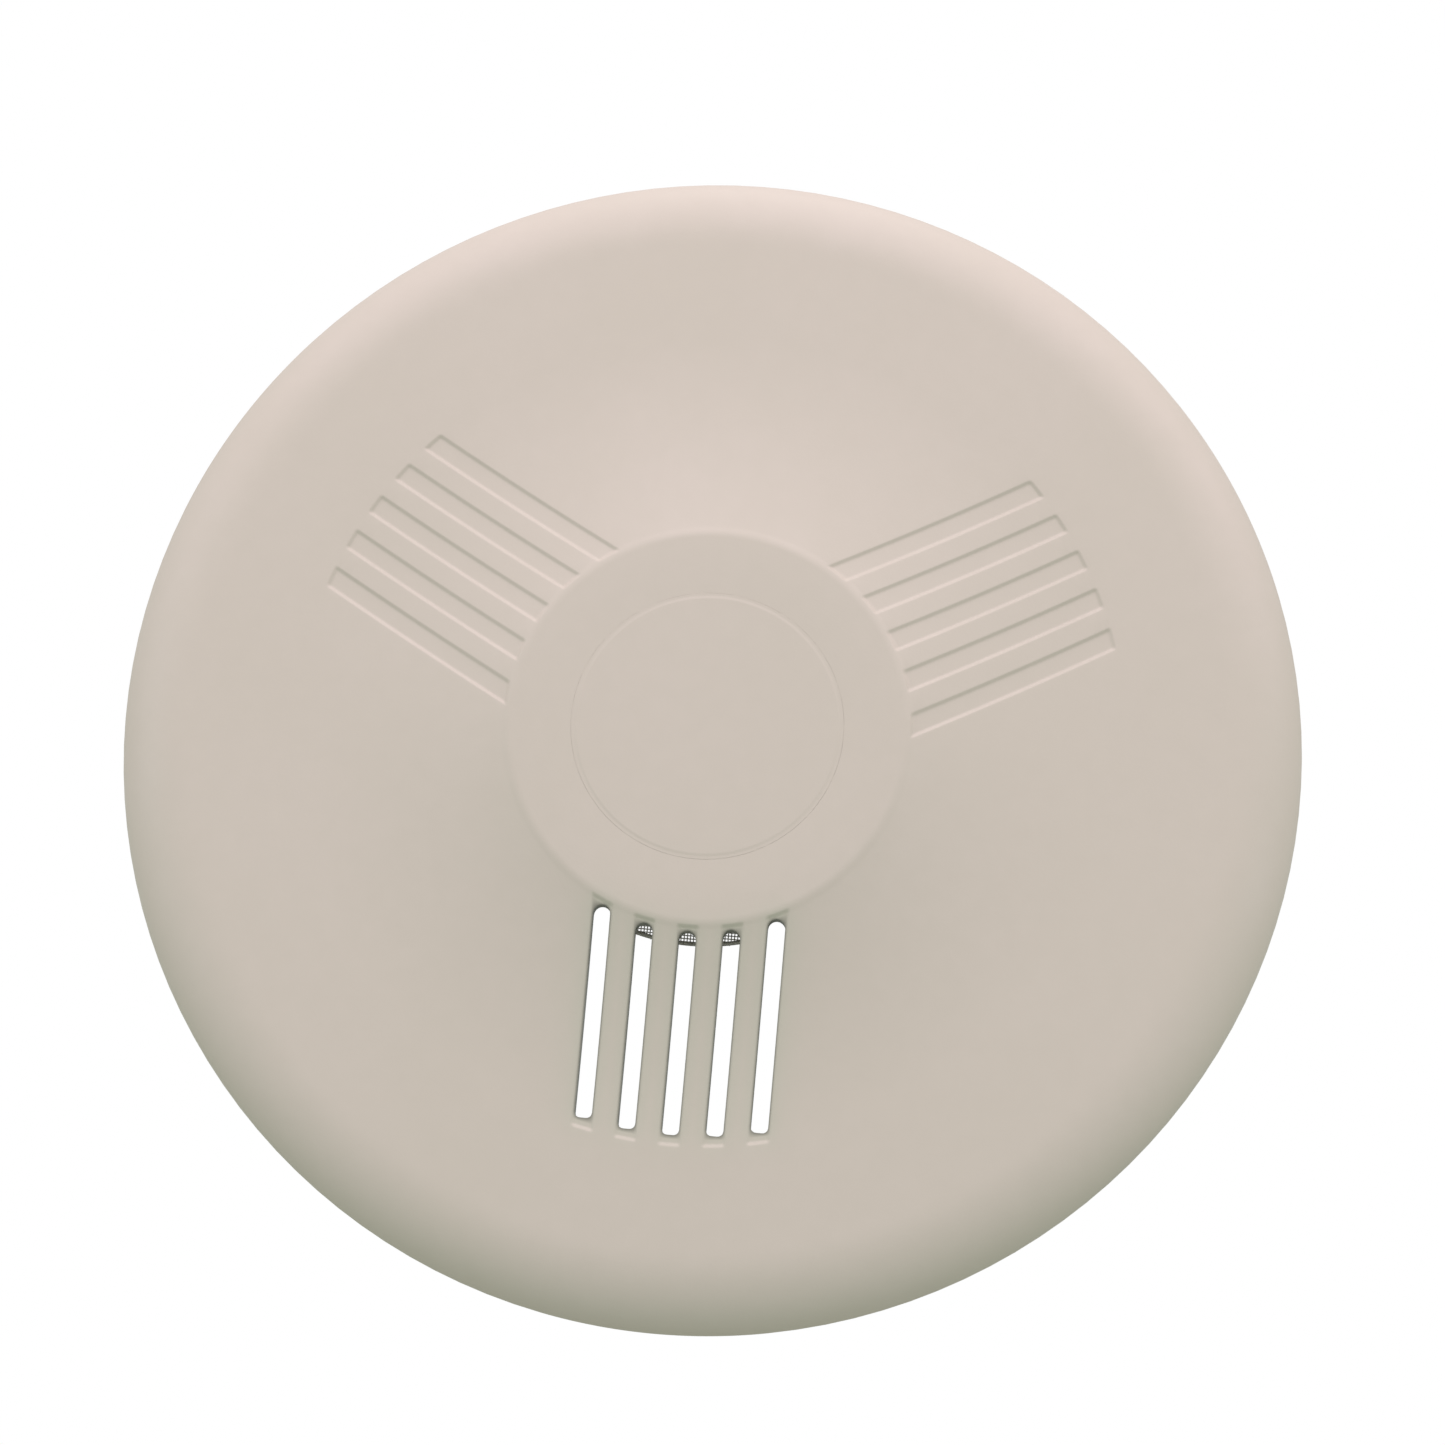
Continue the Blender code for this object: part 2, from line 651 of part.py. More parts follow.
def cut_housing_holes(shell, parent):
    """The bay itself, the screw holes and the slots for the blades."""
    low, high = HOUSING_FLOOR_Z - HOUSING_FLOOR, BAY_WALL_TOP_Z + HOUSING_FLOOR
    bay = prism_object("bay_guide", [bay_outline(0.0)], low, high, None, parent)
    limit = prism_object(
        "bay_inside_guide",
        [circle(HOUSING_INNER_RADIUS, (0.0, 0.0), ROUND_STEPS)],
        0.0,
        2 * ANNULUS_Z,
        None,
        parent,
    )
    combine(bay, limit, "INTERSECT")
    combine(shell, bay, "DIFFERENCE")
    cuts = [circle(SCREW_SHANK + SCREW_CLEARANCE, place) for place in post_places()]
    cuts += [blade_outline(a, GAP) for a in TERMINAL_ANGLES]
    floor_cut = prism_object(
        "floor_hole_guide", cuts, low, FLOOR_TOP_Z + HOUSING_FLOOR, None, parent
    )
    combine(shell, floor_cut, "DIFFERENCE")
    tip = PARTS_Z - BOARD_SHANK_REACH - GAP
    bores = [circle(BOARD_SHANK + SCREW_CLEARANCE, p) for p in BOARD_SCREW_PLACES]
    bore_guide = prism_object(
        "board_bore_guide", bores, tip, BOARD_Z + BOARD_THICK, None, parent
    )
    combine(shell, bore_guide, "DIFFERENCE")


# ---- front cover ----
def flare_height(radius):
    """Height of the cover's face between the rolled rim and the boss."""
    if radius >= FLARE_RADIUS:
        return ANNULUS_Z
    climb = (FLARE_RADIUS - radius) / (FLARE_RADIUS - BOSS_RADIUS)
    return ANNULUS_Z + FLARE_RISE * climb**2


def flare_radii(steps=5):
    """Radii along the flare, from the boss outwards."""
    width = FLARE_RADIUS - BOSS_RADIUS
    return [BOSS_RADIUS + width * i / steps for i in range(steps + 1)]


def roll_points(width, drop, outer, top, steps=5):
    """A quarter of an ellipse from the flat ring out to the widest line of the rim."""
    points = []
    for i in range(steps + 1):
        turn = math.pi / 2 * (1 - i / steps)
        r = outer - width * (1 - math.cos(turn))
        z = top - drop * (1 - math.sin(turn))
        points.append((r, z))
    return points


def cover_profile():
    """The whole cross-section of the cover as one closed line."""
    hole = BUTTON_RADIUS + BUTTON_GAP
    crest = (hole + BOSS_RADIUS) / 2
    step = BOSS_RISE * BOSS_SHOULDER
    fillet = BOSS_RISE * BOSS_FILLET
    face = [(hole, HOLE_EDGE_Z), (crest, BOSS_Z)]
    face += [(BOSS_RADIUS - BOSS_RISE, BOSS_Z - step)]
    face += [(BOSS_RADIUS - fillet, BOSS_Z - BOSS_RISE + fillet)]
    face += [(r, flare_height(r)) for r in flare_radii()]
    face += roll_points(ROLL_WIDTH, ROLL_DROP, RIM_RADIUS, ANNULUS_Z)
    lip = COVER_WALL / 4
    skirt_radius = RIM_RADIUS - SKIRT_DRAFT
    face += [(skirt_radius, SKIRT_Z + lip), (skirt_radius - lip, SKIRT_Z)]

    collar_end = COLLAR_RADIUS + COLLAR_WALL
    collar_low = BOSS_UNDERSIDE_Z - COLLAR_DEPTH
    rib_inner = HOUSING_RADIUS + LOCK_CLEARANCE
    rib_outer = rib_inner + RIB_THICK
    inside = [(hole, BOSS_UNDERSIDE_Z), (COLLAR_RADIUS, BOSS_UNDERSIDE_Z)]
    inside += [(COLLAR_RADIUS, collar_low), (collar_end, collar_low)]
    inside += [(collar_end, BOSS_UNDERSIDE_Z)]
    shift = COVER_WALL
    inside += [(r - shift / 4, flare_height(r) - shift) for r in flare_radii()[:-1]]
    inside += [(FLARE_RADIUS, COVER_UNDERSIDE_Z), (rib_inner, COVER_UNDERSIDE_Z)]
    inside += [
        (rib_inner, COVER_UNDERSIDE_Z - RIB_DEPTH),
        (rib_outer, COVER_UNDERSIDE_Z - RIB_DEPTH),
        (rib_outer, COVER_UNDERSIDE_Z),
    ]
    inside += roll_points(
        ROLL_WIDTH - shift / 2,
        ROLL_DROP - shift / 2,
        RIM_RADIUS - shift,
        COVER_UNDERSIDE_Z,
        4,
    )
    inside += [(skirt_radius - shift, SKIRT_Z)]
    return face + inside[::-1]


def groove_offsets():
    """Distances of a group's grooves from the group's middle line."""
    middle = (GROOVES_PER_GROUP - 1) / 2
    return [(i - middle) * GROOVE_PITCH for i in range(GROOVES_PER_GROUP)]


def groove_strips():
    """Straight strips along every groove of every group."""
    inner = BOSS_RADIUS - 2 * GROOVE_WIDTH
    outer = GROOVE_END_RADIUS + 2 * GROOVE_WIDTH
    strips = []
    for angle in GROUP_ANGLES:
        for offset in groove_offsets():
            place = ((inner + outer) / 2, offset)
            strip = rectangle(outer - inner, GROOVE_WIDTH, place)
            strips.append(turned(strip, math.radians(angle)))
    return strips


def slot_outline(offset):
    """One slot of the open group, round at its inner end, both ends on arcs."""
    half = SLOT_WIDTH / 2
    near = math.sqrt(SLOT_INNER_RADIUS**2 - offset**2)
    far = math.sqrt(SLOT_OUTER_RADIUS**2 - offset**2)
    corner = SLOT_CORNER
    outline = arc(half, math.pi / 2, math.pi * 3 / 2, 6, (near + half, offset))
    outline += arc(
        corner, -math.pi / 2, 0.0, 3, (far - corner, offset - half + corner)
    )
    outline += arc(corner, 0.0, math.pi / 2, 3, (far - corner, offset + half - corner))
    return turned(outline, math.radians(OPEN_GROUP_ANGLE))


def make_groove_guide(parent):
    """The shape of all grooves: strips that follow the face at the groove's depth."""
    start = BOSS_RADIUS + GROOVE_DEPTH / 5
    flare = [r for r in flare_radii()[1:] if r < GROOVE_END_RADIUS - GROOVE_DEPTH]
    radii = [start] + flare + [GROOVE_END_RADIUS]
    high = BOSS_Z + COVER_WALL
    profile = [(r, flare_height(r) - GROOVE_DEPTH) for r in radii]
    profile += [(GROOVE_END_RADIUS, high), (start, high)]
    band = lathe_object("groove_guide", profile, None, parent)
    low = ANNULUS_Z - 2 * COVER_WALL
    strips = prism_object(
        "groove_strip_guide", groove_strips(), low, high + COVER_WALL, None, parent
    )
    combine(band, strips, "INTERSECT")
    return band


def make_front_cover(finish, parent):
    """The visible cover with its posts, grooves and open slots."""
    cover = lathe_object("front_cover", cover_profile(), finish, parent)
    posts = [circle(POST_RADIUS, place) for place in post_places()]
    post_guide = prism_object(
        "post_guide",
        posts,
        FLOOR_TOP_Z + GAP,
        COVER_UNDERSIDE_Z + COVER_WALL / 3,
        None,
        parent,
    )
    combine(cover, post_guide, "UNION")
    bore_top = HOUSING_FLOOR_Z + SCREW_LENGTH + GAP
    bores = [circle(SCREW_SHANK + SCREW_CLEARANCE, place) for place in post_places()]
    bore_guide = prism_object(
        "post_bore_guide", bores, HOUSING_FLOOR_Z, bore_top, None, parent
    )
    combine(cover, bore_guide, "DIFFERENCE")
    combine(cover, make_groove_guide(parent), "DIFFERENCE")
    slots = [slot_outline(offset) for offset in groove_offsets()]
    low, high = COVER_UNDERSIDE_Z - COVER_WALL, BOSS_Z + COVER_WALL
    slot_guide = prism_object("slot_guide", slots, low, high, None, parent)
    combine(cover, slot_guide, "DIFFERENCE")
    return cover


def make_housing_screws(finish, parent):
    """Screws that reach from behind the housing's floor into the cover's posts."""
    head_low = HOUSING_FLOOR_Z - GAP - SCREW_HEAD_HEIGHT
    tip = HOUSING_FLOOR_Z + SCREW_LENGTH
    profile = screw_profile(SCREW_SHANK, SCREW_HEAD, head_low, SCREW_HEAD_HEIGHT, tip)
    for i, place in enumerate(post_places(), 1):
        name = f"housing_screw_{i}"
        lathe_object(name, profile, finish, parent, SMALL_STEPS, place)


def make_gasket(finish, parent):
    """A foam ring squeezed between the housing's wall and the cover."""
    low, high = HOUSING_TOP_Z + GAP, COVER_UNDERSIDE_Z - GAP
    inner, outer = HOUSING_INNER_RADIUS, HOUSING_RADIUS
    profile = [(inner, low), (outer, low), (outer, high), (inner, high)]
    lathe_object("housing_gasket", profile, finish, parent)


# ---- circuit board and its parts ----
def make_circuit_board(finish, parent):
    """A round board cut away round the bay, the posts and its screws."""
    radius = HOUSING_INNER_RADIUS - 2 * GAP
    high = BOARD_Z + BOARD_THICK
    disc = circle(radius, (0.0, 0.0), ROUND_STEPS)
    board = prism_object("circuit_board", [disc], BOARD_Z, high, finish, parent)
    cuts = [bay_outline(BAY_WALL + GAP)]
    cuts += [circle(POST_RADIUS + 2 * GAP, place) for place in post_places()]
    cuts += [circle(BOARD_SHANK + SCREW_CLEARANCE, p) for p in BOARD_SCREW_PLACES]
    guide = prism_object(
        "board_cut_guide",
        cuts,
        BOARD_Z - BOARD_THICK,
        high + BOARD_THICK,
        None,
        parent,
    )
    combine(board, guide, "DIFFERENCE")


def make_board_screws(finish, parent):
    """Two screws that hold the board on the housing's short posts."""
    tip = PARTS_Z - BOARD_SHANK_REACH
    profile = screw_profile(
        BOARD_SHANK, BOARD_SCREW_HEAD, PARTS_Z, BOARD_SCREW_HEIGHT, tip
    )
    for i, place in enumerate(BOARD_SCREW_PLACES, 1):
        name = f"board_screw_{i}"
        lathe_object(name, profile, finish, parent, SMALL_STEPS, place)


def make_block(name, place, size, finish, parent):
    """A box-shaped electronic part standing on the board."""
    outline = rectangle(size[0], size[1], place)
    made = prism_object(name, [outline], PARTS_Z, PARTS_Z + size[2], finish, parent)
    bevel = made.modifiers.new("edges", "BEVEL")
    bevel.width = size[2] * BLOCK_EDGE
    bevel.segments = 1
    return made


def can_profile(radius, low, height, edge):
    """A short round can with a small chamfer at its top and bottom."""
    high = low + height
    return [
        (0, low),
        (radius - edge, low),
        (radius, low + edge),
        (radius, high - edge),
        (radius - edge, high),
        (0, high),
    ]


def make_board_parts(finishes, parent):
    """Relay, controller, regulator, capacitors, thermistor and reed switch."""
    black = finishes["chip_black"]
    make_block("alarm_relay", RELAY_PLACE, RELAY_SIZE, finishes["relay_blue"], parent)
    make_block("microcontroller", CHIP_PLACE, CHIP_SIZE, black, parent)
    make_block("voltage_regulator", REGULATOR_PLACE, REGULATOR_SIZE, black, parent)
    can = can_profile(CAPACITOR_RADIUS, PARTS_Z, CAPACITOR_HEIGHT, CAN_EDGE)
    for i, place in enumerate(CAPACITOR_PLACES, 1):
        sleeve = finishes["capacitor_sleeve"]
        lathe_object(f"capacitor_{i}", can, sleeve, parent, 24, place)
    bead = can_profile(THERMISTOR_RADIUS, PARTS_Z, THERMISTOR_HEIGHT, CAN_EDGE)
    glass = finishes["bead_glass"]
    lathe_object("thermistor", bead, glass, parent, 12, THERMISTOR_PLACE)
    reed = can_profile(REED_RADIUS, -REED_LENGTH / 2, REED_LENGTH, CAN_EDGE)
    tube = lathe_object("reed_switch", reed, glass, parent, 12)
    tube.rotation_euler = (0.0, math.pi / 2, 0.0)
    tube.location = (*REED_PLACE, PARTS_Z + REED_RADIUS)


def make_lamps(finishes, parent):
    """Two small lamps and the clear rods above them."""
    dome_edge = LED_RADIUS * LED_DOME
    led = can_profile(LED_RADIUS, PARTS_Z, LED_HEIGHT, dome_edge)
    rod_low = PARTS_Z + LED_HEIGHT + GAP
    rod_high = BUTTON_UNDERSIDE_Z - BUTTON_TRAVEL - GUIDE_CLEARANCE
    rod_edge = GUIDE_RADIUS * GUIDE_EDGE
    rod = can_profile(GUIDE_RADIUS, rod_low, rod_high - rod_low, rod_edge)
    colours = (finishes["led_green"], finishes["led_red"])
    for i, place in enumerate(LED_PLACES):
        lathe_object(f"status_led_{i + 1}", led, colours[i], parent, 12, place)
        clear = finishes["clear_acrylic"]
        lathe_object(f"light_guide_{i + 1}", rod, clear, parent, 12, place)


def make_sounder(finishes, parent):
    """The resonator cup, open towards the board, and the sounding disc inside it."""
    low, high = PARTS_Z, PARTS_Z + SOUNDER_HEIGHT
    inner = SOUNDER_RADIUS - SOUNDER_WALL
    profile = [
        (inner, low),
        (SOUNDER_RADIUS, low),
        (SOUNDER_RADIUS, high),
        (SOUND_HOLE, high),
        (SOUND_HOLE, high - SOUNDER_WALL),
        (inner, high - SOUNDER_WALL),
    ]
    black = finishes["sounder_black"]
    lathe_object("sounder_case", profile, black, parent, 36, SOUNDER_PLACE)
    disc = circle(inner - 2 * GAP, SOUNDER_PLACE, 36)
    disc_low = low + PIEZO_LIFT
    brass = finishes["brass"]
    prism_object("piezo_disc", [disc], disc_low, disc_low + PIEZO_THICK, brass, parent)


# ---- gas cell ----
def hood_outline():
    """The hood in plan: a tongue from the cell's collar out to just past the boss."""
    reach = math.asin(HOOD_HALF_WIDTH / HOOD_REACH)
    down = -math.pi / 2
    tongue = arc(HOOD_REACH, down - reach, down + reach, 6)
    side = math.asin(HOOD_HALF_WIDTH / HOLDER_RADIUS)
    cap = arc(HOLDER_RADIUS, down + side, down + math.tau - side, 20, (0.0, CELL_Y))
    return tongue + cap


def make_cell(finishes, parent):
    """The gas cell with its holder, filter and screen."""
    centre = (0.0, CELL_Y)
    can = can_profile(CELL_RADIUS, PARTS_Z, CELL_HEIGHT, CAN_EDGE)
    lathe_object("co_cell", can, finishes["cell_steel"], parent, 32, centre)
    hood_low = HOLDER_TOP_Z - HOOD_THICK
    profile = [
        (HOLDER_INNER_RADIUS, PARTS_Z),
        (HOLDER_RADIUS, PARTS_Z),
        (HOLDER_RADIUS, HOLDER_TOP_Z - HOOD_THICK / 2),
        (HOLDER_INNER_RADIUS, HOLDER_TOP_Z - HOOD_THICK / 2),
    ]
    holder = lathe_object(
        "cell_holder", profile, finishes["holder_black"], parent, 32, centre
    )
    hood = prism_object(
        "hood_guide", [hood_outline()], hood_low, HOLDER_TOP_Z, None, parent
    )
    combine(holder, hood, "UNION")
    port = prism_object(
        "port_guide",
        [circle(PORT_RADIUS, centre, 24)],
        hood_low - HOOD_THICK,
        HOLDER_TOP_Z + HOOD_THICK,
        None,
        parent,
    )
    combine(holder, port, "DIFFERENCE")
    filter_low = FILTER_TOP_Z - FILTER_THICK
    outline = circle(CELL_RADIUS, centre, 32)
    prism_object(
        "charcoal_filter",
        [outline],
        filter_low,
        FILTER_TOP_Z,
        finishes["charcoal"],
        parent,
    )
    screen_low = HOLDER_TOP_Z + GAP
    prism_object(
        "insect_screen",
        [hood_outline()],
        screen_low,
        screen_low + SCREEN_THICK,
        finishes["screen_grey"],
        parent,
    )


# ---- button and switch ----
def make_test_button(finish, axis):
    """The centre disc: a shallow cup with a flange under the boss and a stem."""
    flange_low = FLANGE_TOP_Z - FLANGE_THICK
    inner = BUTTON_RADIUS - BUTTON_WALL
    edge = BUTTON_PROUD / 2
    profile = [
        (0, BUTTON_TOP_Z),
        (BUTTON_RADIUS - edge, BUTTON_TOP_Z),
        (BUTTON_RADIUS, BUTTON_TOP_Z - edge),
        (BUTTON_RADIUS, FLANGE_TOP_Z),
        (FLANGE_RADIUS, FLANGE_TOP_Z),
        (FLANGE_RADIUS, flange_low),
        (inner, flange_low),
        (inner, BUTTON_UNDERSIDE_Z),
        (0, BUTTON_UNDERSIDE_Z),
    ]
    button = lathe_object("test_button", profile, finish, axis)
    stem = prism_object(
        "stem_guide",
        [circle(STEM_RADIUS, (0.0, SWITCH_Y))],
        PLUNGER_TOP_Z + GAP,
        BUTTON_UNDERSIDE_Z + BUTTON_THICK / 2,
        None,
        axis,
    )
    combine(button, stem, "UNION")


def make_switch(finishes, head, axis):
    """The push switch's body on the board, and its plunger on its own axis."""
    place = (0.0, SWITCH_Y)
    body = prism_object(
        "switch_body",
        [rectangle(SWITCH_SIDE, SWITCH_SIDE, place)],
        PARTS_Z,
        SWITCH_TOP_Z,
        finishes["chip_black"],
        head,
    )
    floor = SWITCH_TOP_Z - PLUNGER_DEPTH - BUTTON_TRAVEL - GAP
    bore = prism_object(
        "plunger_bore_guide",
        [circle(PLUNGER_RADIUS + GAP, place)],
        floor,
        SWITCH_TOP_Z + PLUNGER_PROUD,
        None,
        head,
    )
    combine(body, bore, "DIFFERENCE")
    plunger_low = SWITCH_TOP_Z - PLUNGER_DEPTH
    length = PLUNGER_DEPTH + PLUNGER_PROUD
    plunger = can_profile(PLUNGER_RADIUS, plunger_low, length, PLUNGER_EDGE)
    white = finishes["switch_white"]
    lathe_object("switch_plunger", plunger, white, axis, SMALL_STEPS)


def make_blades(finish, parent):
    """The head's blades, from the board down through the floor to the base's leaves."""
    for i, angle in enumerate(TERMINAL_ANGLES, 1):
        outline = blade_outline(angle)
        name = f"contact_blade_{i}"
        prism_object(name, [outline], BLADE_TIP_Z, BOARD_Z - GAP, finish, parent)


# ---- the whole detector ----
def make_finishes():
    """Every finish that the detector uses."""
    return {
        "cover_cream": make_material("cover_cream", (0.62, 0.55, 0.49), 0.5),
        "base_white": make_material("base_white", (0.66, 0.64, 0.58), 0.55),
        "gasket_foam": make_material("gasket_foam", (0.05, 0.05, 0.05), 0.9),
        "board_green": make_material("board_green", (0.02, 0.16, 0.06), 0.35),
        "chip_black": make_material("chip_black", (0.02, 0.02, 0.02), 0.5),
        "sounder_black": make_material("sounder_black", (0.03, 0.03, 0.03), 0.45),
        "holder_black": make_material("holder_black", (0.08, 0.08, 0.085), 0.5),
        "relay_blue": make_material("relay_blue", (0.03, 0.11, 0.33), 0.4),
        "capacitor_sleeve": make_material("capacitor_sleeve", (0.03, 0.04, 0.09), 0.3),
        "bead_glass": make_material("bead_glass", (0.55, 0.6, 0.58), 0.1),
        "cell_steel": make_material("cell_steel", (0.6, 0.6, 0.58), 0.3, 1.0),
        "charcoal": make_material("charcoal", (0.015, 0.015, 0.015), 0.95),
        "screen_grey": make_material("screen_grey", (0.42, 0.42, 0.41), 0.4, 1.0),
        "brass": make_material("brass", (0.72, 0.52, 0.22), 0.3, 1.0),
        "zinc_steel": make_material("zinc_steel", (0.62, 0.62, 0.6), 0.35, 1.0),
        "magnet_nickel": make_material("magnet_nickel", (0.55, 0.54, 0.5), 0.25, 1.0),
        "led_green": make_material("led_green", (0.05, 0.5, 0.1), 0.15),
        "led_red": make_material("led_red", (0.6, 0.03, 0.02), 0.15),
        "clear_acrylic": make_material("clear_acrylic", (0.85, 0.88, 0.88), 0.08),
        "switch_white": make_material("switch_white", (0.75, 0.73, 0.7), 0.4),
    }


def clear_scene():
    """Takes away whatever the scene held before."""
    for old in list(bpy.data.objects):
        bpy.data.objects.remove(old)


def build():
    """Makes the detector, assembled and at rest."""
    clear_scene()
    finishes = make_finishes()
    wall = add_empty("wall_frame", None)
    wall.rotation_euler = (math.pi / 2, 0.0, 0.0)
    head = add_empty("head_axis", wall)
    button_axis = add_empty("button_axis", head)
    plunger_axis = add_empty("plunger_axis", head, (0.0, SWITCH_Y, 0.0))

    make_base_plate(finishes["base_white"], wall)
    make_magnet(finishes["magnet_nickel"], wall)
    for i, angle in enumerate(TERMINAL_ANGLES, 1):
        make_terminal(i, angle, finishes["brass"], finishes["zinc_steel"], wall)

    make_rear_housing(finishes["base_white"], head)
    make_front_cover(finishes["cover_cream"], head)
    make_housing_screws(finishes["zinc_steel"], head)
    make_gasket(finishes["gasket_foam"], head)
    make_circuit_board(finishes["board_green"], head)
    make_board_screws(finishes["zinc_steel"], head)
    make_board_parts(finishes, head)
    make_lamps(finishes, head)
    make_sounder(finishes, head)
    make_cell(finishes, head)
    make_blades(finishes["brass"], head)
    make_switch(finishes, head, plunger_axis)
    make_test_button(finishes["cover_cream"], button_axis)


build()
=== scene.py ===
"""Looks of a round wall-mounted carbon monoxide detector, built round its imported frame.

Pieces are drawn in the face frame, the one the detector was designed in: x to the right,
y up the wall and z out from the wall towards the room, in metres.
"""

import logging
import math
from dataclasses import dataclass
from enum import Enum

import bmesh
import bpy
import numpy as np
from mathutils import Matrix, Vector


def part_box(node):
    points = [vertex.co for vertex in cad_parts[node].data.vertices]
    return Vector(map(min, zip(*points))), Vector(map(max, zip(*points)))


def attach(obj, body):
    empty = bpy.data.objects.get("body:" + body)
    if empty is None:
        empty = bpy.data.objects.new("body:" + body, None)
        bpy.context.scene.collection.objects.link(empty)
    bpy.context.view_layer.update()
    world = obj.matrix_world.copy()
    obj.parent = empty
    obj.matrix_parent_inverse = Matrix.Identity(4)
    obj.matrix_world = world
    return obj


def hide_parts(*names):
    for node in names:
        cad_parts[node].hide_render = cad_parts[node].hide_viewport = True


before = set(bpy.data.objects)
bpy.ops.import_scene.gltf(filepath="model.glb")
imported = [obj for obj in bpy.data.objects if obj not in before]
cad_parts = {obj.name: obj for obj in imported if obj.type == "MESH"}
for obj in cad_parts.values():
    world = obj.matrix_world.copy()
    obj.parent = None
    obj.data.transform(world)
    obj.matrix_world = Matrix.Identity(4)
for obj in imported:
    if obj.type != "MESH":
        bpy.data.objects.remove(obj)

LOG = logging.getLogger("detector")
MM = 0.001
FACE_TO_WORLD = Matrix.Rotation(math.pi / 2, 4, "X")

# Painted shade on the cover round the slots: the mesh layers that say where it lies, and how it
# tints the plastic. The edge layer paints a dark line of shade on the slots' edges and walls. The
# haze layer paints a fainter, greener shade round them.
SLOT_EDGE_SHADE = "slot_edge_shade"
SLOT_HAZE_SHADE = "slot_haze_shade"
PAINTED_SHADE_TINTS = {SLOT_HAZE_SHADE: (0.80, 0.93, 0.86), SLOT_EDGE_SHADE: (0.12, 0.13, 0.12)}

Point2 = tuple[float, float]
Profile = list[Point2]
Colour = tuple[float, float, float]


class Body(Enum):
    """The bodies that the pieces made here ride on."""

    BASE = "base"
    HEAD = "head"
    BUTTON = "test_button"


class Direction(Enum):
    """Which way a finish is drawn out: how close its pattern lies along each axis."""

    EVEN = (1.0, 1.0, 1.0)
    ACROSS = (0.06, 1.0, 1.0)


# ---- drawing tools ----
@dataclass(frozen=True)
class Extent:
    """The room that a part of the frame takes, in the face frame."""

    low: Vector
    high: Vector

    @classmethod
    def of(cls, node: str) -> "Extent":
        """Reads the extent of one part.

        Args:
            node: The part's name in the frame.

        Returns:
            Its lowest and highest corner.
        """
        low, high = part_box(node)
        return cls(Vector((low.x, low.z, -high.y)), Vector((high.x, high.z, -low.y)))

    @property
    def centre(self) -> Point2:
        """The middle of the part as seen from the front."""
        return ((self.low.x + self.high.x) / 2, (self.low.y + self.high.y) / 2)

    @property
    def radius(self) -> float:
        """Half of the part's width."""
        return (self.high.x - self.low.x) / 2


def smoothstep(value: np.ndarray | float) -> np.ndarray | float:
    """Eases from 0 to 1 while value goes from 0 to 1."""
    held = np.clip(value, 0.0, 1.0)
    return held * held * (3 - 2 * held)


def arc(radius: float, start: float, end: float, steps: int, centre: Point2 = (0, 0)) -> Profile:
    """Points along an arc.

    Args:
        radius: The arc's radius.
        start: The angle of its first point, in radians.
        end: The angle of its last point.
        steps: How many straight pieces it has.
        centre: The point that it goes round.

    Returns:
        The points, both ends included.
    """
    turns = [start + (end - start) * i / steps for i in range(steps + 1)]
    return [(centre[0] + radius * math.cos(t), centre[1] + radius * math.sin(t)) for t in turns]


def polar(radius: float, degrees: float) -> Point2:
    """The point at a radius and an angle round the detector's axis."""
    turn = math.radians(degrees)
    return (radius * math.cos(turn), radius * math.sin(turn))


def sector(inner: float, outer: float, middle: float, span: float, steps: int = 12) -> Profile:
    """A piece of a flat ring, as seen from the front.

    Args:
        inner: Its inner radius.
        outer: Its outer radius.
        middle: The angle of its middle, in radians.
        span: The angle that it takes up.
        steps: How many straight pieces each arc has.

    Returns:
        Its corners.
    """
    first, last = middle - span / 2, middle + span / 2
    return arc(outer, first, last, steps) + arc(inner, last, first, steps)


def soft_box(left: float, right: float, low: float, high: float, corner: float) -> Profile:
    """A rectangle with rounded corners, as seen from the front.

    Args:
        left: Its left side.
        right: Its right side.
        low: Its lower side.
        high: Its upper side.
        corner: The radius of its corners.

    Returns:
        Its corners.
    """
    quarter = math.pi / 2
    spots = [(right, high, -1, -1), (left, high, 1, -1), (left, low, 1, 1), (right, low, -1, 1)]
    outline: Profile = []
    for i, (x, y, across, up) in enumerate(spots):
        centre = (x + across * corner, y + up * corner)
        outline += arc(corner, i * quarter, (i + 1) * quarter, 5, centre)
    return outline


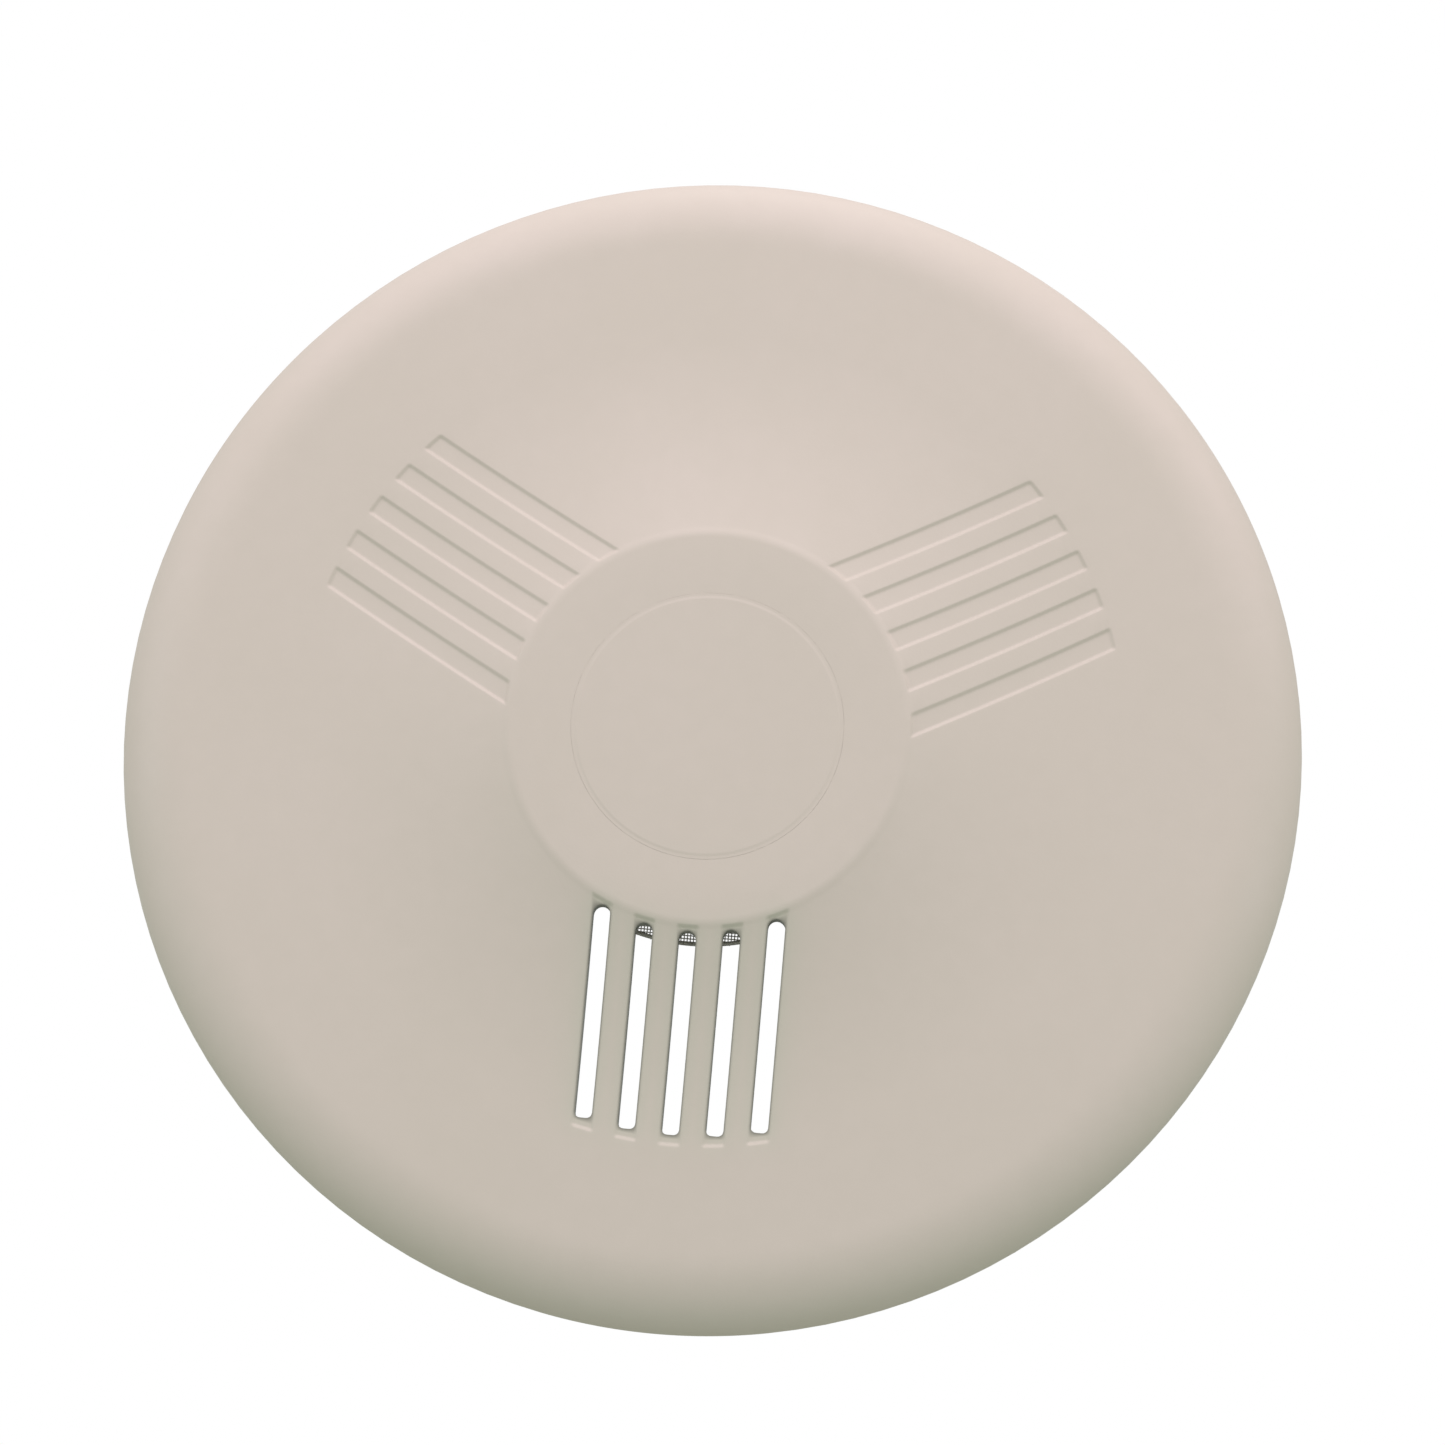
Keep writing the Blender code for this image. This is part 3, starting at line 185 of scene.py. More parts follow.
class Draft:
    """A mesh in the making."""

    def __init__(self) -> None:
        """Starts empty."""
        self.mesh = bmesh.new()

    def quads(self, rows: list[list[bmesh.types.BMVert]], around: bool, along: bool) -> None:
        """Joins a table of corners with faces.

        Args:
            rows: The corners, row by row.
            around: Whether each row closes on itself.
            along: Whether the last row joins the first.
        """
        count = len(rows[0])
        for i in range(len(rows) if along else len(rows) - 1):
            upper, lower = rows[i], rows[(i + 1) % len(rows)]
            for j in range(count if around else count - 1):
                k = (j + 1) % count
                self.mesh.faces.new((upper[j], upper[k], lower[k], lower[j]))

    def lathe(self, profile: Profile, centre: Point2 = (0, 0), steps: int = 64) -> None:
        """Spins a profile round an axis that points out from the wall.

        Args:
            profile: Radius and height of each point; on the axis at both ends for a solid.
            centre: Where the axis stands.
            steps: How many facets go round.
        """
        solid = profile[0][0] == 0
        inner = profile[1:-1] if solid else profile
        turns = [math.tau * i / steps for i in range(steps)]
        rows = [
            [
                self.mesh.verts.new((centre[0] + r * math.cos(t), centre[1] + r * math.sin(t), z))
                for t in turns
            ]
            for r, z in inner
        ]
        self.quads(rows, around=True, along=not solid)
        if not solid:
            return
        for row, (_, height) in ((rows[0], profile[0]), (rows[-1], profile[-1])):
            tip = self.mesh.verts.new((*centre, height))
            for j in range(steps):
                self.mesh.faces.new((row[j], row[(j + 1) % steps], tip))

    def prism(self, outline: Profile, low: float, high: float, edge: float = 0.0) -> None:
        """Pulls an outline straight up, with its edges eased if asked.

        Args:
            outline: The corners in plan.
            low: The height of the bottom.
            high: The height of the top.
            edge: The width of the rounding along every sharp edge.
        """
        bottom = [self.mesh.verts.new((x, y, low)) for x, y in outline]
        top = [self.mesh.verts.new((x, y, high)) for x, y in outline]
        faces = [self.mesh.faces.new(bottom), self.mesh.faces.new(top)]
        for i in range(len(outline)):
            k = (i + 1) % len(outline)
            faces.append(self.mesh.faces.new((bottom[i], bottom[k], top[k], top[i])))
        bmesh.ops.recalc_face_normals(self.mesh, faces=faces)
        if edge <= 0:
            return
        edges = {e for f in faces for e in f.edges if e.calc_face_angle(0.0) > 0.5}
        bmesh.ops.bevel(
            self.mesh, geom=list(edges), offset=edge, segments=3, affect="EDGES", profile=0.5
        )

    def loft(self, levels: list[tuple[Profile, float]]) -> None:
        """Joins outlines at rising heights into one closed solid.

        Args:
            levels: Each outline with its height, all with the same number of corners.
        """
        rows = [[self.mesh.verts.new((x, y, z)) for x, y in line] for line, z in levels]
        self.quads(rows, around=True, along=False)
        self.mesh.faces.new(rows[0])
        self.mesh.faces.new(rows[-1])

    def tube(self, path: list[Vector], radius: float, sides: int = 8) -> None:
        """Runs a round wire along a path.

        Args:
            path: The points of its centre line.
            radius: The wire's radius.
            sides: How many facets go round it.
        """
        rows = []
        for i, point in enumerate(path):
            ahead = path[min(i + 1, len(path) - 1)] - path[max(i - 1, 0)]
            side = ahead.cross(Vector((0, 0, 1)))
            if side.length < ahead.length * 0.05:
                side = ahead.cross(Vector((1, 0, 0)))
            side.normalize()
            up = side.cross(ahead).normalized()
            turns = [math.tau * j / sides for j in range(sides)]
            rows.append(
                [
                    self.mesh.verts.new(point + radius * (math.cos(t) * side + math.sin(t) * up))
                    for t in turns
                ]
            )
        self.quads(rows, around=True, along=False)
        self.mesh.faces.new(rows[0])
        self.mesh.faces.new(rows[-1])

    def finish(self, name: str, sharp: float = 35.0) -> bpy.types.Object:
        """Turns the draft into an object that stands upright in the world.

        Args:
            name: The object's name.
            sharp: The angle in degrees over which an edge shows as sharp.

        Returns:
            The new object, in the scene.
        """
        bmesh.ops.recalc_face_normals(self.mesh, faces=self.mesh.faces)
        self.mesh.transform(FACE_TO_WORLD)
        mesh = bpy.data.meshes.new(name)
        self.mesh.to_mesh(mesh)
        self.mesh.free()
        made = bpy.data.objects.new(name, mesh)
        mark_edges(made, sharp)
        bpy.context.scene.collection.objects.link(made)
        return made


def settle(piece: bpy.types.Object) -> None:
    """Fixes a piece's modifiers into its mesh.

    Args:
        piece: The piece, which has none left afterwards.
    """
    graph = bpy.context.evaluated_depsgraph_get()
    mesh = bpy.data.meshes.new_from_object(piece.evaluated_get(graph))
    piece.modifiers.clear()
    piece.data = mesh


def carve(piece: bpy.types.Object, tool: Draft, joined: bool = False) -> None:
    """Cuts a draft's solids out of a piece, or joins them to it.

    Args:
        piece: The piece that changes.
        tool: The solids, used up by this.
        joined: Whether they are joined instead of cut out.
    """
    other = tool.finish("tool")
    change = piece.modifiers.new("carve", "BOOLEAN")
    change.operation = "UNION" if joined else "DIFFERENCE"
    change.solver = "EXACT"
    change.object = other
    settle(piece)
    bpy.data.objects.remove(other)


def mark_edges(piece: bpy.types.Object, sharp: float) -> None:
    """Shades a piece smooth, apart from its sharp edges.

    Args:
        piece: The piece.
        sharp: The angle in degrees over which an edge shows as sharp.
    """
    piece.data.shade_smooth()
    piece.data.set_sharp_from_angle(angle=math.radians(sharp))


def even_shading(piece: bpy.types.Object) -> None:
    """Makes large faces keep their own shading beside narrow rounded edges.

    Args:
        piece: The piece, with its sharp edges marked.
    """
    weighted = piece.modifiers.new("even", "WEIGHTED_NORMAL")
    weighted.keep_sharp = True
    weighted.weight = 60
    settle(piece)


def seat(piece: bpy.types.Object, body: Body, finish: "Finish", nodes: tuple[str, ...]) -> None:
    """Gives a finished piece its material, its body and the parts that it stands for.

    Args:
        piece: The piece, in place.
        body: The body that it moves with.
        finish: What it is made of.
        nodes: The names of the parts that it takes the place of.
    """
    piece.data.materials.clear()
    piece.data.materials.append(finish.material())
    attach(piece, body.value)
    if nodes:
        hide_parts(*nodes)
    LOG.info("%s rides on %s in %s", piece.name, body.value, finish.slot)


# ---- finishes ----
class Recipe:
    """The nodes of one material, laid out from left to right."""

    def __init__(self, name: str) -> None:
        """Starts with a single shader.

        Args:
            name: The material's name.
        """
        self.material = bpy.data.materials.new(name)
        self.material.use_nodes = True
        self.tree = self.material.node_tree
        self.shader = self.tree.nodes["Principled BSDF"]
        place = self.tree.nodes.new("ShaderNodeTexCoord")
        self.place = place.outputs["Object"]

    def node(self, kind: str, **sockets: object) -> bpy.types.Node:
        """Adds a node.

        Args:
            kind: The node's type, without its ShaderNode prefix.
            **sockets: A value or another node's output for each named socket.

        Returns:
            The node.
        """
        made = self.tree.nodes.new("ShaderNode" + kind)
        for name, value in sockets.items():
            socket = made.inputs[name.replace("_", " ")]
            if isinstance(value, bpy.types.NodeSocket):
                self.tree.links.new(value, socket)
            else:
                socket.default_value = value
        return made

    def grain(
        self, size: float, detail: float = 2.0, way: Direction = Direction.EVEN
    ) -> bpy.types.NodeSocket:
        """A cloudy pattern.

        Args:
            size: The size of one cloud, in metres.
            detail: How much finer structure it has.
            way: The direction that it is drawn out in.

        Returns:
            The pattern, from 0 to 1.
        """
        scaled = self.node("Mapping", Vector=self.place, Scale=tuple(s / size for s in way.value))
        made = self.node("TexNoise", Vector=scaled.outputs[0], Scale=1.0, Detail=detail)
        return made.outputs["Fac"]

    def spread(
        self,
        value: bpy.types.NodeSocket,
        low: float,
        high: float,
        start: float = 0.3,
        end: float = 0.7,
    ) -> bpy.types.NodeSocket:
        """Stretches a pattern onto a new range.

        Args:
            value: The pattern.
            low: What its dark places become.
            high: What its light places become.
            start: How dark counts as dark.
            end: How light counts as light.

        Returns:
            The new pattern.
        """
        source = {"From_Min": start, "From_Max": end}
        made = self.node("MapRange", Value=value, To_Min=low, To_Max=high, **source)
        return made.outputs[0]

    def blend(
        self, factor: bpy.types.NodeSocket, first: object, second: object
    ) -> bpy.types.NodeSocket:
        """Mixes two colours.

        Args:
            factor: Where the second one shows.
            first: The first colour or its socket.
            second: The second colour or its socket.

        Returns:
            The mixed colour.
        """
        made = self.tree.nodes.new("ShaderNodeMix")
        made.data_type = "RGBA"
        self.tree.links.new(factor, made.inputs[0])
        for socket, value in ((made.inputs[6], first), (made.inputs[7], second)):
            if isinstance(value, bpy.types.NodeSocket):
                self.tree.links.new(value, socket)
            else:
                socket.default_value = (*value, 1.0)
        return made.outputs[2]

    def relief(self, layers: list[tuple[bpy.types.NodeSocket, float, float]]) -> None:
        """Stacks bumps on the surface.

        Args:
            layers: For each bump its pattern, its strength and its depth in metres.
        """
        below = None
        for pattern, strength, depth in layers:
            bump = self.node("Bump", Height=pattern, Strength=strength, Distance=depth)
            if below is not None:
                self.tree.links.new(below.outputs[0], bump.inputs["Normal"])
            below = bump
        self.tree.links.new(below.outputs[0], self.shader.inputs["Normal"])

    def wire(self, socket: str, value: object) -> None:
        """Sets or links one of the shader's sockets.

        Args:
            socket: The socket's name.
            value: A number, a colour or another node's output.
        """
        target = self.shader.inputs[socket]
        if isinstance(value, bpy.types.NodeSocket):
            self.tree.links.new(value, target)
        elif isinstance(value, tuple):
            target.default_value = (*value, 1.0)
        else:
            target.default_value = value


@dataclass(frozen=True)
class Finish:
    """What a piece is made of.

    Attributes:
        slot: The record's material slot.
        colour: The main colour.
        stain_and_shade: The colour of its darker clouds, and the base of painted shade: at the
            bottom of foam's pores and round the cover's slots.
        roughness: How matte it is, at its glossiest and its dullest places.
    """

    slot: str
    colour: Colour
    stain_and_shade: Colour
    roughness: Point2 = (0.4, 0.55)

    def material(self) -> bpy.types.Material:
        """Gives the finish's material, which is made once.

        Returns:
            The material.
        """
        known = bpy.data.materials.get("look_" + self.slot)
        if known is not None:
            return known
        recipe = Recipe("look_" + self.slot)
        self.compose(recipe)
        return recipe.material

    def compose(self, recipe: Recipe) -> None:
        """Lays out the finish's nodes in an empty recipe."""
        raise NotImplementedError


@dataclass(frozen=True)
class MouldedPlastic(Finish):
    """Injection-moulded plastic with a fine spark-eroded grain.

    Attributes:
        cloud: The size of the colour's clouds.
        grain_size: The size of one grain of the surface.
        grain_depth: How deep the grain goes.
        painted_shade: How much painted shade shows in the haze round marked edges and on the edges.
    """

    cloud: float = 0.03
    grain_size: float = 0.00035
    grain_depth: float = 0.00001
    painted_shade: Point2 = (0.0, 0.0)

    def compose(self, recipe: Recipe) -> None:
        """Lays out clouds, flow marks, painted shade round the slots, grain and uneven gloss.

        Args:
            recipe: The empty recipe.
        """
        clouds = recipe.spread(recipe.grain(self.cloud, 3.0), 0.0, 1.0)
        colour = recipe.blend(clouds, self.colour, self.stain_and_shade)
        mottle = recipe.spread(recipe.grain(self.cloud / 12, 4.0), 0.0, 0.35)
        colour = recipe.blend(mottle, colour, tuple(c * 0.97 for c in self.stain_and_shade))
        # Painted shade round the slots, laid over the plastic's colour: first a fainter, greener
        # haze, then a dark line on their edges and walls.
        for (layer, tint), most in zip(PAINTED_SHADE_TINTS.items(), self.painted_shade):
            if most:
                shaded_colour = tuple(c * t for c, t in zip(self.stain_and_shade, tint))
                colour = recipe.blend(self.dust_and_painted_shade(recipe, layer, most), colour, shaded_colour)
        recipe.wire("Base Color", colour)
        gloss = recipe.grain(self.cloud / 4, 3.0)
        recipe.wire("Roughness", recipe.spread(gloss, *self.roughness))
        recipe.wire("IOR", 1.46)
        fine = recipe.grain(self.grain_size, 2.0)
        coarse = recipe.grain(self.grain_size * 5, 1.0)
        recipe.relief([(coarse, 0.35, self.grain_depth * 1.5), (fine, 0.6, self.grain_depth)])

    def dust_and_painted_shade(self, recipe: Recipe, layer: str, most: float) -> bpy.types.NodeSocket:
        """Reads how much painted shade lies where, slightly patchy.

        Args:
            recipe: The recipe that the nodes are added to.
            layer: The mesh layer that says where the painted shade lies.
            most: How much shows where it is strongest.

        Returns:
            The amount of painted shade, from 0 to 1.
        """
        mark = recipe.node("Attribute")
        mark.attribute_name = layer
        patch = recipe.spread(recipe.grain(0.0012, 3.0), most * 0.85, most)
        amount = recipe.node("Math", Value=mark.outputs["Fac"])
        amount.operation = "MULTIPLY"
        recipe.tree.links.new(patch, amount.inputs[1])
        return amount.outputs[0]


@dataclass(frozen=True)
class WorkedMetal(Finish):
    """Rolled, turned or plated metal.

    Attributes:
        way: The direction of its drawing lines.
        line: The width of one line.
        depth: How deep the lines go.
        bare: How much of the metal shows through its dust.
    """

    way: Direction = Direction.ACROSS
    line: float = 0.00025
    depth: float = 0.000006
    bare: float = 1.0

    def compose(self, recipe: Recipe) -> None:
        """Lays out tarnish, drawing lines and handling marks.

        Args:
            recipe: The empty recipe.
        """
        tarnish = recipe.spread(recipe.grain(0.004, 4.0), 0.0, 0.8)
        recipe.wire("Base Color", recipe.blend(tarnish, self.colour, self.stain_and_shade))
        recipe.wire("Metallic", self.bare)
        lines = recipe.grain(self.line, 3.0, self.way)
        recipe.wire("Roughness", recipe.spread(lines, *self.roughness))
        dents = recipe.grain(self.line * 8, 2.0)
        recipe.relief([(dents, 0.4, self.depth * 2), (lines, 0.5, self.depth)])


@dataclass(frozen=True)
class CellFoam(Finish):
    """Open or closed foam, felt and pressed charcoal.

    Attributes:
        pore: The size of one pore.
        depth: How deep the pores are.
    """

    pore: float = 0.0006
    depth: float = 0.00015

    def compose(self, recipe: Recipe) -> None:
        """Lays out pores with painted shade at their bottoms, and dusty crests.

        Args:
            recipe: The empty recipe.
        """
        cells = recipe.node("TexVoronoi", Vector=recipe.place, Scale=1.0 / self.pore)
        pores = recipe.spread(cells.outputs["Distance"], 0.0, 1.0, 0.1, 0.7)
        # Painted shade: the colour darkens towards each pore's bottom, where its bump sinks.
        recipe.wire("Base Color", recipe.blend(pores, self.stain_and_shade, self.colour))
        recipe.wire("Roughness", recipe.spread(recipe.grain(self.pore * 4), *self.roughness))
        recipe.wire("Sheen Weight", 0.2)
        dust_and_painted_shade = recipe.grain(self.pore / 3, 3.0)
        recipe.relief([(pores, 0.8, self.depth), (dust_and_painted_shade, 0.5, self.depth / 4)])


@dataclass(frozen=True)
class BoardLaminate(Finish):
    """Glass-fibre board under a solder resist.

    Attributes:
        copper: The colour of the copper as it shows through the resist.
        weave: The width of one bundle of the glass cloth.
        track: The distance between two tracks.
    """

    copper: Colour = (0.05, 0.26, 0.08)
    weave: float = 0.0006
    track: float = 0.0032

    def compose(self, recipe: Recipe) -> None:
        """Lays out cloth, tracks and a glossy resist.

        Args:
            recipe: The empty recipe.
        """
        scaled = recipe.node("Mapping", Vector=recipe.place, Scale=(1 / self.weave,) * 3)
        cloth = recipe.node("TexChecker", Vector=scaled.outputs[0], Scale=1.0)
        tint = recipe.spread(cloth.outputs["Fac"], 0.0, 0.35, 0.0, 1.0)
        colour = recipe.blend(tint, self.colour, self.stain_and_shade)
        tracks = recipe.node("TexBrick", Vector=recipe.place, Scale=1.0)
        tracks.inputs["Brick Width"].default_value = self.track * 3
        tracks.inputs["Row Height"].default_value = self.track
        tracks.inputs["Mortar Size"].default_value = self.track / 9
        bare = recipe.spread(tracks.outputs["Fac"], 0.0, 1.0, 0.2, 0.8)
        colour = recipe.blend(bare, colour, self.copper)
        recipe.wire("Base Color", colour)
        recipe.wire("Roughness", recipe.spread(recipe.grain(0.002, 3.0), *self.roughness))
        recipe.wire("Coat Weight", 0.5)
        recipe.relief([(cloth.outputs["Fac"], 0.15, 0.00001), (bare, 0.5, 0.00003)])


@dataclass(frozen=True)
class ClearResin(Finish):
    """Clear or tinted resin and glass.

    Attributes:
        glow: How much of the light passes.
        bend: Its index of refraction.
    """

    glow: float = 0.85
    bend: float = 1.49

    def compose(self, recipe: Recipe) -> None:
        """Lays out clear resin with faint clouds and flow lines.

        Args:
            recipe: The empty recipe.
        """
        haze = recipe.spread(recipe.grain(0.0012, 3.0), 0.0, 0.6)
        recipe.wire("Base Color", recipe.blend(haze, self.colour, self.stain_and_shade))
        recipe.wire("Transmission Weight", self.glow)
        recipe.wire("IOR", self.bend)
        recipe.wire("Roughness", recipe.spread(recipe.grain(0.0008, 2.0), *self.roughness))
        recipe.relief([(recipe.grain(0.001, 2.0), 0.2, 0.00001)])


class Finishes:
    """Every finish of the detector."""

    COVER = MouldedPlastic(
        "cover_cream",
        (0.60, 0.535, 0.47),
        (0.585, 0.525, 0.455),
        (0.46, 0.56),
        # How strong the painted shade is: first the haze round the slots, then the dark line on
        # their edges.
        painted_shade=(0.5, 0.75),
    )
    BASE = MouldedPlastic(
        "base_white", (0.66, 0.635, 0.575), (0.63, 0.61, 0.55), (0.5, 0.62), cloud=0.02
    )
    GASKET = CellFoam("gasket_foam", (0.06, 0.06, 0.06), (0.02, 0.02, 0.02), (0.85, 0.95))
    BOARD = BoardLaminate("board_green", (0.015, 0.14, 0.05), (0.01, 0.10, 0.04), (0.25, 0.4))
    CHIP = MouldedPlastic(
        "chip_black", (0.025, 0.025, 0.027), (0.018, 0.018, 0.02), (0.45, 0.65), cloud=0.004
    )
    SOUNDER = MouldedPlastic(
        "sounder_black", (0.03, 0.03, 0.031), (0.022, 0.022, 0.023), (0.35, 0.5), cloud=0.008
    )
    HOLDER = MouldedPlastic(
        "holder_black", (0.085, 0.085, 0.09), (0.065, 0.065, 0.07), (0.45, 0.6), cloud=0.006
    )
    RELAY = MouldedPlastic(
        "relay_blue", (0.03, 0.11, 0.34), (0.025, 0.09, 0.28), (0.3, 0.45), cloud=0.006
    )
    SLEEVE = MouldedPlastic(
        "capacitor_sleeve", (0.03, 0.04, 0.10), (0.025, 0.03, 0.08), (0.2, 0.35), cloud=0.004
    )
    BEAD = ClearResin("bead_glass", (0.70, 0.76, 0.73), (0.6, 0.68, 0.64), (0.04, 0.12), bend=1.52)
    CELL = WorkedMetal("cell_steel", (0.62, 0.62, 0.60), (0.52, 0.52, 0.50), (0.22, 0.42))
    CHARCOAL = CellFoam("charcoal", (0.02, 0.02, 0.02), (0.006, 0.006, 0.006), (0.9, 1.0), 0.0004)
    SCREEN = WorkedMetal(
        "screen_grey",
        (0.86, 0.86, 0.84),
        (0.60, 0.60, 0.58),
        (0.55, 0.75),
        Direction.EVEN,
        0.0001,
        bare=0.15,
    )
    BRASS = WorkedMetal("spring_brass", (0.74, 0.54, 0.24), (0.60, 0.42, 0.18), (0.2, 0.4))
    ZINC = WorkedMetal("zinc_steel", (0.64, 0.64, 0.62), (0.50, 0.52, 0.50), (0.28, 0.48))
    NICKEL = WorkedMetal("nickel_plate", (0.58, 0.56, 0.52), (0.48, 0.46, 0.42), (0.15, 0.3))
    GREEN_LAMP = ClearResin("led_green", (0.10, 0.62, 0.18), (0.06, 0.45, 0.12), (0.05, 0.15), 0.6)
    RED_LAMP = ClearResin("led_red", (0.70, 0.06, 0.04), (0.5, 0.04, 0.03), (0.05, 0.15), 0.6)
    ACRYLIC = ClearResin("clear_acrylic", (0.92, 0.94, 0.94), (0.86, 0.9, 0.9), (0.02, 0.08), 0.95)
    SWITCH = MouldedPlastic(
        "switch_white", (0.74, 0.72, 0.68), (0.68, 0.66, 0.62), (0.35, 0.5), cloud=0.003
    )


# ---- the cover ----
@dataclass
class FrontCover:
    """The visible cover: hole, boss, flare, flat ring, rolled rim, grooves and slots."""

    extent: Extent
    hole_radius: float = 17.38 * MM
    boss_radius: float = 25.8 * MM
    boss_rise: float = 0.2 * MM
    boss_dish: float = 0.04 * MM
    boss_fall: float = 0.08 * MM
    bend_start: float = 24.5 * MM
    bend_width: float = 1.9 * MM
    crest_radius: float = 21.6 * MM
    flare_radius: float = 52.8 * MM
    flare_rise: float = 3.1 * MM
    wall: float = 2.2 * MM
    roll_width: float = 9.5 * MM
    roll_drop: float = 5.5 * MM
    draft: float = 1.4 * MM
    skirt_depth: float = 18.2 * MM
    lip: float = 0.55 * MM
    groove_half: float = 1.365 * MM
    groove_depth: float = 0.24 * MM
    groove_pitch: float = 5.53 * MM
    groove_start: float = 25.9 * MM
    groove_end: float = 53.2 * MM
    round_out: float = 0.22 * MM
    round_in: float = 0.4 * MM
    slot_half: float = 1.1 * MM
    slot_start: float = 26.5 * MM
    slot_end: float = 51.9 * MM
    slot_corner: float = 0.7 * MM
    collar: Point2 = (19.4 * MM, 20.8 * MM)
    collar_depth: float = 4.5 * MM
    rib: Point2 = (57.6 * MM, 59.0 * MM)
    rib_depth: float = 6.0 * MM
    groups: tuple[int, ...] = (30, 150, 270)
    open_group: int = 2
    grooves: int = 5
    margin: float = 14.2 * MM
    between: int = 36
    posts: tuple[int, ...] = (90, 205, 335)
    post_circle: float = 48.0 * MM
    post_radius: float = 3.5 * MM
    bore_radius: float = 1.7 * MM
    bore_top: float = 22.7 * MM
    lead_rows: int = 6
    slot_fade: float = 1.3 * MM
    rib_root: float = 0.4 * MM
    rib_edge: float = 0.3 * MM
    root: float = 0.3 * MM
    edge: float = 0.2 * MM
    hole_ease: float = 0.1 * MM
    boss_inside: tuple[Point2, ...] = ((25.2 * MM, 0.75 * MM), (24.9 * MM, 0.0), (23.0 * MM, 0.0))
    # The width of the painted shade on the slots' edges, and how far the haze of painted shade
    # spreads round them.
    slot_edge_shade_width: float = 0.16 * MM
    slot_haze_shade_width: float = 1.5 * MM

    def __post_init__(self) -> None:
        """Works out the heights that follow from the frame."""
        self.top = self.extent.high.z
        self.ring = self.top - self.boss_rise - self.flare_rise
        self.rim_radius = self.extent.radius
        self.under = self.ring - self.wall
        self.hole_edge = self.top - self.boss_dish
        self.boss_under = self.hole_edge - self.wall - self.hole_ease

    # -- surface heights --
    def flare(self, radius: np.ndarray) -> np.ndarray:
        """Height of the flat ring and of the flare that rises from it."""
        climb = (self.flare_radius - radius) / (self.flare_radius - self.boss_radius)
        return self.ring + self.flare_rise * np.clip(climb, 0.0, None) ** 2

    def smooth_face(self, radius: np.ndarray) -> np.ndarray:
        """Height of the face without its grooves.

        Args:
            radius: Distances from the detector's axis.

        Returns:
            The height at each of them.
        """
        share = ((self.crest_radius - radius) / (self.crest_radius - self.hole_radius)) ** 2
        depth = np.where(radius < self.crest_radius, self.boss_dish, self.boss_fall)
        boss = self.top - depth * share
        step = smoothstep((radius - self.bend_start) / self.bend_width)
        return boss * (1 - step) + self.flare(radius) * step

    def groove_share(self, radius: np.ndarray, aside: np.ndarray) -> np.ndarray:
        """How far down a groove a point lies.

        Args:
            radius: Distance from the detector's axis.
            aside: Distance from the middle line of the nearest groove.

        Returns:
            0 on the land, 1 on the floor of a groove.
        """
        width = self.round_out + self.round_in
        side = smoothstep((self.groove_half + self.round_out - np.abs(aside)) / width)
        start = smoothstep((radius - self.groove_start + self.round_out) / width)
        end = smoothstep((self.groove_end + self.round_out - radius) / width)
        return side * start * end

    # -- the table of rows and columns --
    def offsets(self) -> list[float]:
        """Distances of a group's grooves from its middle line."""
        middle = (self.grooves - 1) / 2
        return [(i - middle) * self.groove_pitch for i in range(self.grooves)]

    def group_columns(self) -> list[float]:
        """Places the lines that run along a group's grooves, close together on their edges.

        Returns:
            The distance of each line from the group's middle line.
        """
        steps = [1.62, 1.515, 1.43, 1.35, 1.27, 1.19, 1.10, 1.015, 0.86, 0.6, 0.3]
        half = [s * MM for s in steps]
        across = [-s for s in half] + [0.0] + half[::-1]
        columns = [-self.margin, -self.margin + 0.8 * MM]
        for i, offset in enumerate(self.offsets()):
            columns += [offset + s for s in across]
            if i < self.grooves - 1:
                columns.append(offset + self.groove_pitch / 2)
        return columns + [self.margin - 0.8 * MM, self.margin]

    def face_radii(self) -> list[float]:
        """Places the rows on the face, close together where it bends.

        Returns:
            Their radii, from the hole to the rolled rim.
        """
        boss = [17.45, 17.8, 18.8, 20.2, 21.6, 22.8, 23.8, 24.4, 24.75]
        step = [24.9, 25.05, 25.2, 25.35, 25.5, 25.62, 25.72]
        inner = [25.81, 25.9, 26.0, 26.1, 26.2, 26.31]
        floor = [26.5, 26.7, 26.95, 27.25, 27.6] + [28.4 + 1.2 * i for i in range(19)]
        outer = [50.9, 51.2, 51.45, 51.65, 51.8, 51.9]
        end = [52.4, 52.75, 52.85, 52.95, 53.05, 53.15, 53.25, 53.35, 53.5]
        ring = [55.0, 58.0, 61.0, 64.0, 66.0, 66.7]
        return [r * MM for r in boss + step + inner + floor + outer + end + ring]

    def slot_limits(self, aside: np.ndarray, offset: np.ndarray) -> tuple[np.ndarray, np.ndarray]:
        """Radii at which a slot starts and ends along one line.

        Args:
            aside: Distance of the line from the slot's middle line.
            offset: Distance of the slot from the group's middle line.

        Returns:
            The radius of its start and of its end.
        """
        across = np.abs(aside)
        held = np.minimum(across, self.slot_half)
        near = np.sqrt(self.slot_start**2 - offset**2)
        far = np.sqrt(self.slot_end**2 - offset**2)
        line = offset + np.clip(aside, -self.slot_half, self.slot_half)
        start = near + self.slot_half - np.sqrt(self.slot_half**2 - held**2)
        corner = np.clip(held - self.slot_half + self.slot_corner, 0.0, None)
        end = far - self.slot_corner + np.sqrt(self.slot_corner**2 - corner**2)
        fade = smoothstep((across - self.slot_half) / self.slot_fade)
        start_radius = np.hypot(start, line) * (1 - fade) + self.slot_start * fade
        end_radius = np.hypot(end, line) * (1 - fade) + self.slot_end * fade
        return start_radius, end_radius

